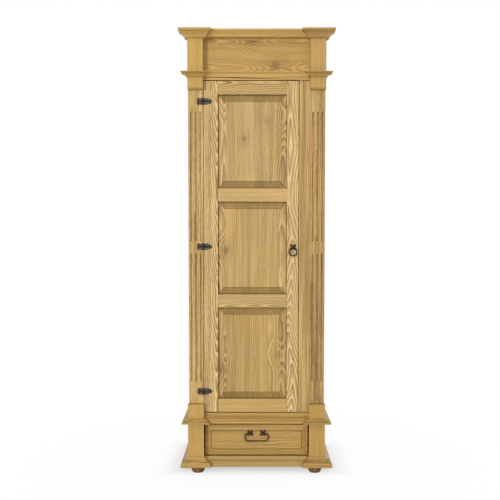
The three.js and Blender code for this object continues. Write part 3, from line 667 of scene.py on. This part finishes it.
# Iron: its light, where rust comes, how metallic it is, its roughness, and the relief of dents and grit
DENT_FALL, IRON_LIGHT, PATCH_LIGHT, HOLLOW_LIGHT = 1.4, 0.55, 0.7, 0.7
RUST_EDGE, RUST_SHARE, IRON_METAL = (0.46, 0.66), 0.6, 0.75
IRON_ROUGH, GRIT_ROUGH, PATCH_ROUGH = 0.42, 0.25, 0.2
DENT_RELIEF, GRIT_RELIEF = 0.8, 0.12
# Steel and plastic: share of the second colour, and their roughness with what changes it
SMEAR_SHARE, STEEL_ROUGH, LINE_ROUGH, SMEAR_ROUGH = 0.3, 0.18, 0.16, 0.12
PLASTIC_SHARE, PLASTIC_ROUGH, GRAIN_ROUGH = 0.25, 0.46, 0.18


def iron(name, tint):
    """Hammered iron: shallow round dents, soot in the hollows and a rubbed shine on the high spots."""
    shader = Shader(name)
    values = {"Vector": shader.vector(*shader.axes()), "Scale": DENTS}
    dents = shader.node("TexVoronoi", values, feature="SMOOTH_F1")
    dent = Number(shader, dents.outputs["Distance"])
    grit = shader.speckle(*GRIT, detail=3.0)
    patch = shader.speckle(*PATCHES)
    high = (1 - dent * DENT_FALL).most(0)
    light = IRON_LIGHT + patch * PATCH_LIGHT + (1 - high) * HOLLOW_LIGHT
    rust = bpy.context.scene.wardrobe_colours.rust[:]
    colour = shader.dim(shader.mix(patch.rise(*RUST_EDGE) * RUST_SHARE, tint, rust), light)
    roughness = IRON_ROUGH + (grit - 0.5) * GRIT_ROUGH + (patch - 0.5) * PATCH_ROUGH
    height = dent * DENT_RELIEF + grit * GRIT_RELIEF
    return shader.finish(colour, roughness, metallic=IRON_METAL, bump=height, relief=IRON_RELIEF)


def steel(name):
    """Plated tube with the fine lines of its drawing along X."""
    colours = bpy.context.scene.wardrobe_colours
    shader = Shader(name)
    lines = shader.speckle(*DRAWN_LINES)
    smear = shader.speckle(*SMEARS)
    colour = shader.mix(smear * SMEAR_SHARE, colours.steel[:], colours.dull_steel[:])
    roughness = STEEL_ROUGH + (lines - 0.5) * LINE_ROUGH + (smear - 0.5) * SMEAR_ROUGH
    return shader.finish(colour, roughness, metallic=1.0, bump=lines, relief=STEEL_RELIEF)


def plastic(name):
    """Moulded plastic with a fine matt texture."""
    colours = bpy.context.scene.wardrobe_colours
    shader = Shader(name)
    grain = shader.speckle(*PLASTIC_GRAIN)
    cloud = shader.speckle(*PLASTIC_CLOUDS, detail=1.0)
    colour = shader.mix(cloud * PLASTIC_SHARE, colours.plastic[:], colours.dark_plastic[:])
    roughness = PLASTIC_ROUGH + (grain - 0.5) * GRAIN_ROUGH
    return shader.finish(colour, roughness, bump=grain, relief=PLASTIC_RELIEF)


# Pieces


def settle(obj, body, slot, nodes=(), crisp=None):
    """Shades the piece, hangs it on its body and hides the solids it stands in for."""
    crisp = crisp or bpy.context.scene.wardrobe_sizes.curved
    obj.data.polygons.foreach_set("use_smooth", [True] * len(obj.data.polygons))
    obj.data.set_sharp_from_angle(angle=crisp)
    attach(obj, body)
    if nodes:
        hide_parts(*nodes)
    return obj


def placed(name, data):
    """A new object of the scene that holds this mesh, camera or lamp."""
    obj = bpy.data.objects.new(name, data)
    bpy.context.scene.collection.objects.link(obj)
    return obj


def dressed(mesh, materials):
    """A new object of the scene with this mesh, its name and these materials."""
    for material in materials:
        mesh.materials.append(material)
    return placed(mesh.name, mesh)


def built(name, places, faces, material, soil=None):
    """A new object from an array of places and lists of corners, with its normals turned outwards."""
    mesh = bpy.data.meshes.new(name)
    mesh.from_pydata(places.tolist(), [], faces)
    if soil is not None:
        layer = mesh.attributes.new("soil", "FLOAT", "POINT")
        layer.data.foreach_set("value", soil.astype(np.float32).ravel())
    shape = bmesh.new()
    shape.from_mesh(mesh)
    bmesh.ops.remove_doubles(shape, verts=shape.verts, dist=MERGE)
    bmesh.ops.recalc_face_normals(shape, faces=shape.faces)
    shape.to_mesh(mesh)
    shape.free()
    return dressed(mesh, [material])


def grid_faces(rows, columns):
    """Four-cornered faces between neighbouring places of a grid whose rows close round it."""
    here = np.arange(rows * columns).reshape(rows, columns)
    ahead = np.roll(here, -1, axis=1)
    faces = np.stack([here[:-1], ahead[:-1], ahead[1:], here[1:]], axis=-1)
    return faces.reshape(-1, 4).tolist()


def copied(node, name, materials, width, crisp=None, mitres=()):
    """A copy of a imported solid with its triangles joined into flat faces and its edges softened.

    Each mitre is (place, way): the piece is divided there, and what lies beyond takes the second material.
    """
    source = frame["nodes"][node]
    shape = bmesh.new()
    shape.from_mesh(source.data)
    bmesh.ops.remove_doubles(shape, verts=shape.verts, dist=MERGE)
    bmesh.ops.dissolve_limit(shape, angle_limit=FLAT_ANGLE, verts=shape.verts, edges=shape.edges)
    for place, way in mitres:
        parts = [*shape.verts, *shape.edges, *shape.faces]
        bmesh.ops.bisect_plane(shape, geom=parts, dist=MERGE, plane_co=place, plane_no=way)
    bmesh.ops.recalc_face_normals(shape, faces=shape.faces)
    for face in shape.faces:
        middle = face.calc_center_median()
        face.material_index = int(any((middle - Vector(place)).dot(Vector(way)) > 0 for place, way in mitres))
    mesh = bpy.data.meshes.new(name)
    shape.to_mesh(mesh)
    shape.free()
    obj = dressed(mesh, materials)
    bevel = obj.modifiers.new("arris", "BEVEL")
    bevel.width = width
    bevel.segments = 2
    bevel.limit_method = "ANGLE"
    bevel.angle_limit = SOFT_ANGLE
    bevel.harden_normals = True
    return settle(obj, source["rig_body"], slot_of(node), [node], crisp)


def circle(steps):
    """Even angles round a circle."""
    return np.linspace(0, 2 * math.pi, steps, endpoint=False)


def points(*coordinates):
    """Arrays of coordinates as one array of places."""
    return np.stack(np.broadcast_arrays(*coordinates), axis=-1)


def curve(arcs):
    """Places on quadratic curves: each row is a start, a control and an end, sampled together.

    A place is (1-t)^2 start + 2t(1-t) control + t^2 end.
    """
    start, control, end = (np.asarray(row, float)[:, None] for row in zip(*arcs))
    t = np.linspace(0, 1, CURVE_STEPS)[None, :, None]
    places = (1 - t) ** 2 * start + 2 * t * (1 - t) * control + t ** 2 * end
    return places.reshape(-1, places.shape[-1])


def turned(profile, sides):
    """Rows of places round Z: a profile of radius and height turned through a full circle."""
    radius, height = np.asarray(profile, float).T[:, :, None]
    angle = circle(sides)
    return points(radius * np.cos(angle), radius * np.sin(angle), height)


def wire(line, closed):
    """Rows of places round a line that lies in the plane of X and Z: a round wire.

    A place is the line's, plus radius times (cos a times the line's normal, plus sin a along Y). An open
    wire ends in half balls: there the line runs on by radius sin b while its radius falls as cos b.
    """
    if closed:
        way = np.roll(line, -1, axis=0) - np.roll(line, 1, axis=0)
        radii = np.full(len(line), WIRE_RADIUS)
    else:
        first, last = (line[0] - line[1]), (line[-1] - line[-2])
        turn = np.linspace(math.pi / 2, 0, END_STEPS, endpoint=False)
        run = WIRE_RADIUS * np.sin(turn)[:, None]
        start = line[0] + run * first / np.linalg.norm(first)
        end = line[-1] + run[::-1] * last / np.linalg.norm(last)
        round_off = WIRE_RADIUS * np.cos(turn)
        radii = np.concatenate([round_off, np.full(len(line), WIRE_RADIUS), round_off[::-1]])
        line = np.concatenate([start, line, end])
        way = np.gradient(line, axis=0)
    way = way / np.linalg.norm(way, axis=1, keepdims=True)
    angle = circle(WIRE_SIDES)
    out = radii[:, None] * np.cos(angle)
    x = line[:, :1] - out * way[:, 1:]
    z = line[:, 1:] + out * way[:, :1]
    rows = points(x, radii[:, None] * np.sin(angle), z)
    return np.concatenate([rows, rows[:1]]) if closed else rows


def shell(rows):
    """(places, faces) of a surface whose rows close round it."""
    return rows.reshape(-1, 3), grid_faces(len(rows), rows.shape[1])


def joined(*parts):
    """Several (places, faces) as one."""
    places, faces, count = [], [], 0
    for part_places, part_faces in parts:
        places.append(part_places)
        faces += [[corner + count for corner in face] for face in part_faces]
        count += len(part_places)
    return np.concatenate(places), faces


def rosette(pivot):
    """A four-petalled plate with an eye in front of it.

    The plate's radius is its waist plus the petals' reach times |sin 2a|. Its thickness swells towards the
    middle and along each petal. The eye is an oval ring about an axis along X.
    """
    share = np.linspace(0, 1, PETAL_RINGS)[:, None]
    angle = circle(PETAL_STEPS)
    swell = np.abs(np.sin(2 * angle))
    radius = share * (PETAL_WAIST + (PETAL_REACH - PETAL_WAIST) * swell)
    thick = PLATE_RIM + PLATE_RISE * (1 - share ** 2) + PETAL_RISE * swell * np.sin(math.pi * share)
    front = points(radius * np.cos(angle), WALL_GAP - thick, radius * np.sin(angle))
    behind = front.copy()
    behind[..., Y] = WALL_GAP
    plate = shell(np.concatenate([front, behind[::-1]]))
    turn = np.linspace(0, 2 * math.pi, EYE_STEPS)[:, None]
    oval = circle(EYE_SIDES)
    reach = EYE_RADIUS + EYE_THICK * np.cos(oval)
    eye = shell(points(EYE_WIDE * np.sin(oval), reach * np.cos(turn), reach * np.sin(turn)))
    places, faces = joined(plate, eye)
    return places + pivot, faces


def screw_head(place, radius, turn):
    """A low dome with a slot: lines across the slot carry places t times the half chord, t from -1 to 1.

    The dome falls by the square of the distance from its middle. The slot's lines come twice, high and low.
    """
    half = SLOT_SHARE * radius
    side = np.linspace(-HEAD_RIM * radius, -half, HEAD_SIDE)
    slot = [-half, 0, half]
    line = np.concatenate([side, slot, -side[::-1]])
    low = np.zeros(len(line))
    low[HEAD_SIDE:HEAD_SIDE + len(slot)] = SLOT_DEPTH * radius
    t = np.linspace(-1, 1, HEAD_STEPS)[None, :]
    across = line[:, None]
    up = t * np.sqrt(radius ** 2 - across ** 2)
    rise = HEAD_RISE * radius * (HEAD_SHOULDER - (across ** 2 + up ** 2) / radius ** 2) - low[:, None]
    x = across * math.cos(turn) - up * math.sin(turn)
    z = across * math.sin(turn) + up * math.cos(turn)
    front = points(x, -rise, z)
    behind = front * (1, 0, 1)
    rows = np.concatenate([front, behind[:, ::-1]], axis=1)
    places, faces = shell(rows)
    count = rows.shape[1]
    first = list(range(count))
    last = [len(places) - count + corner for corner in first]
    return places + place, faces + [first[::-1], last]


def raised_panel(node, material):
    """A raised panel: its outline is carried inwards in steps, each with its own distance and depth.

    The place of a corner is the board's corner, moved inwards by the step's inset and back by its depth.
    """
    low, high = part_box(node)
    insets = np.array([np.add(start, further) for start, further, _ in PANEL_STEPS])
    across, up, depth = insets.T[:, :, None]
    # Painted shade in the groove round the panel and at the step of its field
    soil = np.array([step[-1] for step in PANEL_STEPS])
    corners = np.array([(0, 0), (1, 0), (1, 1), (0, 1)])
    x = np.where(corners[:, 0], high.x - across, low.x + across)
    z = np.where(corners[:, 1], high.z - up, low.z + up)
    places = points(x, FACE_Y + depth, z).reshape(-1, 3)
    count = len(places)
    sides = len(corners)
    faces = grid_faces(len(PANEL_STEPS), sides)
    faces += [list(range(sides))[::-1], list(range(count - sides, count))]
    obj = built(f"{node}_raised", places, faces, material, np.repeat(soil, sides))
    sizes = bpy.context.scene.wardrobe_sizes
    return settle(obj, frame["nodes"][node]["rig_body"], slot_of(node), [node], sizes.flat)


def slot_of(node):
    """The material slot that the record gives a node."""
    return next(row["material_slot"] for row in frame["record"]["subparts"] if row["node"] == node)


def nodes_of(*slots, start=""):
    """The nodes with these material slots whose names start so, in the order of their names."""
    return [node for node in sorted(frame["nodes"]) if slot_of(node) in slots and node.startswith(start)]


# What each board looks like, from the front of the wardrobe. Lengths are metres.
PLAIN = Cut(sway=0.012, ripple=0.0015, contrast=0.35, spread=0.12, ring=0.0046)
MOULDED_PINE = replace(PLAIN, contrast=0.25, streaks=0.5, corner_shade=0.85)
FIGURED = Cut(sway=0.04, flow=3.0, ripple=0.005, contrast=1.0, spread=0.012, ring=0.0078, pith=0.022)
STRAIGHT = Cut(sway=0.012, ripple=0.0022, contrast=0.6, spread=0.16, ring=0.006)
PANEL = replace(
    STRAIGHT, sway=0.02, flow=3.0, ripple=0.0035, ring=0.008, late=0.85, bands=0.18, streaks=0.8,
    climb=0.02, end=0.46, flecks=0.08)
FLUTED = replace(
    STRAIGHT, stave=0.0225, contrast=1.0, streaks=1.2, bands=0.3, flecks=0.28, gold=0.42, corner_shade=0.95)
WIDE = Cut(
    stave=0.095, spread=0.05, sway=0.014, flow=1.3, ring=0.0068, ripple=0.0026, contrast=0.55, late=0.8,
    uneven=0.12, bands=0.14, warmth=0.12)
RAW = replace(WIDE, stave=0.11, tone=1.12)
CUTS = {
    "left_side_panel": replace(WIDE, scattered=5),
    "right_side_panel": replace(WIDE, scattered=2),
    "back_panel": replace(RAW, scattered=5),
    "top_board": replace(WIDE, stave=0.1, scattered=2),
    "left_pilaster": replace(FLUTED, uneven=0.14, joint=0.7, tone=1.06, warmth=0.1),
    "right_pilaster": replace(FLUTED, uneven=0.26, joint=0.38, tone=0.91, warmth=0.35),
    "closing_stile": replace(
        STRAIGHT, stave=0.024, uneven=0.12, tone=0.97, streaks=1.2, bands=0.5, gold=0.62, joints=1.0,
        corner_shade=0.85),
    "upper_left_block": replace(PLAIN, tone=0.95, warmth=0.15, gold=0.95, end=0.12),
    "upper_right_block": replace(PLAIN, tone=0.91, warmth=0.13, gold=0.75, end=0.12),
    "frieze_board": replace(
        FIGURED, ring=0.0085, contrast=0.65, late=0.35, tone=0.85, warmth=0.2, sway=0.026, flow=5.0,
        climb=0.03, gold=0.85, bands=0.15,
        strips=((-0.038, 1.0, 0.0, 0.9), (0.016, 0.98, 0.09, 0.35), (0.1, 1.0, 0.0, 1.0)),
        knots=((-0.0238, 1.95, 0.014, 0.5), (0.0839, 1.852, 0.02, 0.8))),
    "door_hinge_stile": replace(
        FIGURED, sway=0.035, flow=2.4, climb=-0.1, tone=1.07, gold=0.12, bands=0.3, wander=0.015,
        flecks=0.2, strips=((0.003, 0.98, 0.07, 0.6), (0.05, 1.03, 0.004, 1.0))),
    "door_lock_stile": replace(
        FIGURED, ring=0.011, spread=0.01, sway=0.05, flow=2.2, tone=1.12, climb=0.2, climb_end=0.05,
        gold=0.0, late=0.75, wander=0.055, ripple=0.007, bands=0.2, flecks=0.1),
    "door_rail_2": replace(FIGURED, ring=0.0065, spread=0.02, contrast=0.7, tone=1.04),
    "door_rail_3": replace(PLAIN, tone=1.1),
    "door_rail_4": replace(FIGURED, spread=0.02, contrast=0.9),
    "door_panel_1": replace(
        PANEL, tone=0.89, gold=0.6,
        strips=((-0.118, 1.05, 0.012, 1.2), (-0.078, 0.98, 0.1, 1.0), (0.012, 0.95, 0.2, 0.8),
                (0.07, 1.02, 0.16, 0.8), (0.118, 1.04, 0.02, 0.85), (0.2, 1.05, 0.02, 1.15)),
        knots=((0.5439, 0.0946, 0.011, 0.4), (0.4755, -0.1613, 0.014, 0.8))),
    "door_panel_2": replace(
        PANEL, tone=1.02, gold=0.45,
        strips=((-0.122, 1.02, 0.012, 1.4), (-0.05, 0.98, 0.14, 0.8), (0.032, 0.97, 0.2, 0.7),
                (0.118, 1.03, 0.12, 0.9), (0.2, 1.05, 0.01, 1.3)),
        knots=((1.0195, -0.1405, 0.014, 0.9),)),
    "door_panel_3": replace(
        PANEL, tone=0.97,
        strips=((-0.118, 1.08, 0.01, 1.5), (-0.062, 0.98, 0.18, 0.8), (0.008, 1.04, 0.1, 0.9),
                (0.06, 0.9, 0.16, 0.8), (0.108, 1.0, 0.05, 1.0), (0.2, 1.06, 0.012, 1.4)),
        knots=((1.5205, -0.0568, 0.01, 0.8), (1.5964, 0.0471, 0.018, 0.3))),
    "drawer_front": replace(
        FIGURED, ring=0.008, contrast=0.9, late=0.5, tone=0.88, spread=0.03, warmth=0.3, end=0.14, gold=0.9,
        bands=0.22, lively=(-0.01, 0.05), line=(0.2065, 0.042)),
    # The architrave's tone is raised as painted light, and its strips are painted shade by depth: darker at
    # the front edge of the moulding and on the flat behind and below it
    "architrave_centre": replace(
        MOULDED_PINE, tone=1.3, gold=0.6, corner_shade=0.2, contrast=0.12, uneven=0,
        strips=((-0.0205, 0.84, 0.12, 1.0), (-0.002, 0.98, 0.12, 1.0), (0.05, 0.88, 0.12, 1.0))),
    # The cornice's tone is raised as painted light
    "cornice_centre": replace(MOULDED_PINE, tone=1.18, corner_shade=0.15),
}
# Brightness, warmth and yellowness of the boards that differ from their kind in nothing else
TONES = {
    "lower_left_block": (1.06, 0.25, 0.95), "lower_right_block": (0.87, 0.35, 1.0),
    "door_rail_1": (1.04, 0.0, 0.7), "base_centre": (0.95, 0.0, 0.62), "waist_centre": (1.02, 0.15, 0.9),
    "cornice_left": (0.98, 0.15, 0.85), "cornice_right": (0.84, 0.27, 0.85),
    "waist_left": (0.86, 0.1, 0.8), "waist_right": (0.8, 0.15, 0.85),
    "base_left": (0.97, 0.1, 0.8), "base_right": (0.88, 0.2, 0.85),
}


def cut_of(node):
    """The board's own cut, or the usual one of its kind, with a seed that no other board has."""
    usual = RAW if slot_of(node) == "raw_pine" else MOULDED_PINE if node.startswith(MOULDED) else PLAIN
    cut = CUTS.get(node, usual)
    if node in TONES:
        cut = replace(cut, **dict(zip(("tone", "warmth", "gold"), TONES[node])))
    seed = SEED_STEP * sorted(frame["nodes"]).index(node)
    gold = cut.gold
    if gold < 0:
        gold = WAXED_GOLD if slot_of(node) == "pine" else PALE_GOLD
    return replace(cut, seed=seed, gold=gold)


# Operators


class WARDROBE_OT_boards(bpy.types.Operator):
    """Give every flat board of the wardrobe its own figure and soft edges"""

    bl_idname = "wardrobe.boards"
    bl_label = "Boards"

    def execute(self, context):
        sizes = context.scene.wardrobe_sizes
        for node in nodes_of("pine", "pale_pine", "raw_pine"):
            if not node.startswith(("door_panel", *MOULDED)):
                material = pine(f"pine of {node}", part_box(node), cut_of(node))
                crisp = sizes.curved if node.endswith(("_pilaster", "_block")) else sizes.flat
                copied(node, f"{node}_wood", [material], sizes.arris, crisp)
        return {"FINISHED"}


class WARDROBE_OT_mouldings(bpy.types.Operator):
    """Run the mouldings, and mitre their caps round the corner blocks"""

    bl_idname = "wardrobe.mouldings"
    bl_label = "Mouldings"

    def execute(self, context):
        sizes = context.scene.wardrobe_sizes
        for node in nodes_of("pine", start=MOULDED):
            cut = cut_of(node)
            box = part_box(node)
            materials = [pine(f"pine of {node}", box, replace(cut, grain=X))]
            mitres = []
            if not node.endswith("_centre"):
                materials.append(pine(f"side pine of {node}", box, replace(cut, grain=Y)))
                side = -1 if node.endswith("_left") else 1
                outer = UPPER_OUT if node.startswith("cornice") else LOWER_OUT
                for corner, way in ((BLOCK_IN, -side), (outer, side)):
                    mitres.append(((side * corner, BLOCK_FACE, 0), (way, 1, 0)))
            copied(node, f"{node}_moulding", materials, sizes.arris, sizes.curved, mitres)
        return {"FINISHED"}


class WARDROBE_OT_panels(bpy.types.Operator):
    """Raise the three panels of the door"""

    bl_idname = "wardrobe.panels"
    bl_label = "Panels"

    def execute(self, context):
        for node in nodes_of("pale_pine", start="door_panel"):
            raised_panel(node, pine(f"pine of {node}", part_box(node), cut_of(node)))
        return {"FINISHED"}


class WARDROBE_OT_feet(bpy.types.Operator):
    """Turn the four bun feet"""

    bl_idname = "wardrobe.feet"
    bl_label = "Feet"

    def execute(self, context):
        sole, belly, top, height = FOOT
        eased = (sole + FOOT_EASE, FOOT_ROUND)
        widest = (belly, height * FOOT_BELLY)
        sides = curve([
            ((sole - FOOT_ROUND, 0), (sole, 0), eased),
            (eased, (belly, widest[1] / 2), widest),
            (widest, (belly, height - SEAT), (top, height - SEAT)),
        ])
        profile = [(0, 0), *sides, (0, height - SEAT)]
        for node in nodes_of("turned_wood"):
            low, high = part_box(node)
            cut = replace(cut_of(node), **STAINED)
            material = pine(f"stained {node}", (low, high), cut)
            places, faces = shell(turned(profile, FOOT_SIDES))
            middle = ((low.x + high.x) / 2, (low.y + high.y) / 2, 0)
            obj = built(f"{node}_turned", places + middle, faces, material)
            settle(obj, "cabinet", "turned_wood", [node])
        return {"FINISHED"}


class WARDROBE_OT_hinges(bpy.types.Operator):
    """Forge the hinges and drive their screws"""

    bl_idname = "wardrobe.hinges"
    bl_label = "Hinges"

    def execute(self, context):
        sizes = context.scene.wardrobe_sizes
        colours = context.scene.wardrobe_colours
        plates = iron("blackened iron", colours.iron[:])
        heads = iron("rubbed screws", colours.screw[:])
        for node in nodes_of("iron", start="hinge_"):
            copied(node, f"{node}_iron", [plates], sizes.iron_edge)
            low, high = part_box(node)
            middle = (low.z + high.z) / 2
            fixed = node.endswith("frame_leaf")
            side = -1 if fixed else 1
            screws = SCREWS[:4] if fixed else SCREWS
            parts = [
                screw_head((HINGE_X + side * across, HINGE_PLATE_Y, middle + up), radius, turn)
                for across, up, radius, turn in screws]
            obj = built(f"{node}_screws", *joined(*parts), heads)
            settle(obj, "cabinet" if fixed else "door", "iron")
        return {"FINISHED"}


class WARDROBE_OT_handles(bpy.types.Operator):
    """Bend the ring and the bail, and stamp their rosettes"""

    bl_idname = "wardrobe.handles"
    bl_label = "Handles"

    def execute(self, context):
        colours = context.scene.wardrobe_colours
        black = iron("black iron of the ring", colours.iron[:])
        brown = iron("browned iron", colours.browned_iron[:])
        for node, body, pivot in ROSETTES:
            material = black if body == "door" else brown
            obj = built(f"{node}_petals", *rosette(np.array(pivot)), material)
            settle(obj, body, "iron", [node])

        angle = circle(RING_STEPS)
        near = np.minimum(angle, 2 * math.pi - angle)
        radius = RING_RADIUS + (RING_DROP - RING_RADIUS) * np.exp(-(near / RING_NECK) ** 2)
        line = points(radius * np.sin(angle), radius * np.cos(angle) - RING_DROP)
        places, faces = shell(wire(line, True))
        obj = built("door_ring_wire", places + RING_PIVOT, faces, black)
        settle(obj, "ring", "iron", ["door_ring"])

        left = np.array(BAIL)
        bends = curve([left[1:4], left[3:6]])
        half = np.concatenate([left[:1], bends])
        line = np.concatenate([half, (half * (-1, 1))[::-1]])
        places, faces = shell(wire(line, False))
        obj = built("drawer_bail_wire", places + BAIL_PIVOT, faces, brown)
        settle(obj, "bail", "iron", ["drawer_bail"])
        return {"FINISHED"}


class WARDROBE_OT_fittings(bpy.types.Operator):
    """Finish the hanging rail, its sockets and the magnet"""

    bl_idname = "wardrobe.fittings"
    bl_label = "Fittings"

    def execute(self, context):
        sizes = context.scene.wardrobe_sizes
        finishes = {"steel": steel("plated steel"), "plastic": plastic("moulded plastic")}
        for node in nodes_of(*finishes):
            copied(node, f"{node}_fitting", [finishes[slot_of(node)]], sizes.iron_edge)
        return {"FINISHED"}


def lamp(name, way, strength, width, colour):
    """A far, wide lamp: way is its turn from the front and its height, both angles."""
    turn, height = way
    data = bpy.data.lights.new(name, "SUN")
    data.energy = strength
    data.angle = width
    data.color = colour
    level = math.cos(height)
    towards = Vector((math.sin(turn) * level, -math.cos(turn) * level, math.sin(height)))
    obj = placed(name, data)
    obj.rotation_euler = (-towards).to_track_quat("-Z", "Y").to_euler()
    obj.location = towards * LAMP_FAR


def seen_directly(shader):
    """1 for what the camera sees, also in a mirror or through glass, and 0 for light on the object."""
    path = shader.node("LightPath")
    rays = ("Is Camera Ray", "Is Glossy Ray", "Is Transmission Ray")
    camera, mirror, glass = [Number(shader, path.outputs[name]) for name in rays]
    return camera.most(mirror).most(glass)


class WARDROBE_OT_stage(bpy.types.Operator):
    """Set up the camera, the pale floor and the soft light"""

    bl_idname = "wardrobe.stage"
    bl_label = "Stage"

    def execute(self, context):
        stage = context.scene.wardrobe_stage
        context.scene.view_settings.view_transform = "Standard"
        data = bpy.data.cameras.new("camera")
        data.lens = stage.lens
        data.clip_start = CAMERA_NEAR
        data.shift_x, data.shift_y = stage.shift
        camera = placed("camera", data)
        turn = Matrix.Rotation(math.pi / 2 - stage.camera_tilt, 4, "X")
        turn = turn @ Matrix.Rotation(-stage.camera_roll, 4, "Z")
        camera.matrix_world = Matrix.Translation(stage.camera_place) @ turn
        context.scene.camera = camera
        self.make_floor(stage)
        self.make_world(context, stage)
        for name, width, colour in LAMPS:
            lamp(f"{name} lamp", getattr(stage, f"{name}_way"), getattr(stage, name), width, colour)
        return {"FINISHED"}

    def make_floor(self, stage):
        """A pale sheet that is seen as white, more so with the distance, and that keeps its shadow. Less
        white is mixed in under and round the wardrobe: painted shadow over the real one.
        """
        mesh = bpy.data.meshes.new("floor")
        corners = [(x * FLOOR_HALF, y * FLOOR_HALF, 0) for x, y in ((-1, -1), (1, -1), (1, 1), (-1, 1))]
        mesh.from_pydata(corners, [], [(0, 1, 2, 3)])
        shader = Shader("pale floor")
        shader.finish(stage.floor[:], FLOOR_ROUGHNESS)
        glow = shader.node("Emission", {"Color": (1, 1, 1, 1), "Strength": 1.0})
        x, y, _ = shader.axes()
        # Painted shadow: less plain white under the wardrobe and just round it
        beside = (abs(x) - UNDER_HALF[0]).most(abs(y) - UNDER_HALF[1]).rise(0.0, UNDER_FADE)
        away = (x * x + y * y).root().rise(FLOOR_NEAR, stage.floor_far)
        share = stage.floor_under + beside * (stage.floor_near - stage.floor_under)
        share = (share + away * (1 - stage.floor_near)) * seen_directly(shader)
        both = shader.node("MixShader", {0: share, 1: shader.surface.outputs[0], 2: glow.outputs[0]})
        shader.put(shader.tree.nodes["Material Output"].inputs["Surface"], both.outputs[0])
        obj = dressed(mesh, [shader.material])

    def make_world(self, context, stage):
        """Even light from all round, and plain white where the camera sees it."""
        world = bpy.data.worlds.new("white room")
        context.scene.world = world
        world.use_nodes = True
        shader = Nodes(world.node_tree)
        background = shader.tree.nodes["Background"]
        background.inputs["Color"].default_value = (1, 1, 1, 1)
        light = seen_directly(shader) * (1 - stage.sky) + stage.sky
        shader.put(background.inputs["Strength"], light)


OPERATORS = (
    WARDROBE_OT_stage, WARDROBE_OT_boards, WARDROBE_OT_mouldings, WARDROBE_OT_panels, WARDROBE_OT_feet,
    WARDROBE_OT_hinges, WARDROBE_OT_handles, WARDROBE_OT_fittings,
)


class WARDROBE_PT_panel(bpy.types.Panel):
    """The wardrobe's sizes, colours and making steps"""

    bl_idname = "WARDROBE_PT_panel"
    bl_label = "Wardrobe"
    bl_space_type = "VIEW_3D"
    bl_region_type = "UI"
    bl_category = "Wardrobe"

    def draw(self, context):
        for group in ("wardrobe_sizes", "wardrobe_colours", "wardrobe_stage"):
            holder = getattr(context.scene, group)
            box = self.layout.box()
            for key in holder.__annotations__:
                box.prop(holder, key)
        for operator in OPERATORS:
            self.layout.operator(operator.bl_idname)


GROUPS = {
    "wardrobe_sizes": WardrobeSizes, "wardrobe_colours": WardrobeColours, "wardrobe_stage": WardrobeStage,
}
CLASSES = (*GROUPS.values(), *OPERATORS, WARDROBE_PT_panel)


def register():
    for cls in CLASSES:
        bpy.utils.register_class(cls)
    for name, group in GROUPS.items():
        setattr(bpy.types.Scene, name, bpy.props.PointerProperty(type=group))


def unregister():
    for name in GROUPS:
        delattr(bpy.types.Scene, name)
    for cls in reversed(CLASSES):
        bpy.utils.unregister_class(cls)


def main():
    register()
    for operator in OPERATORS:
        group, name = operator.bl_idname.split(".")
        getattr(getattr(bpy.ops, group), name)()


if __name__ == "__main__":
    main()
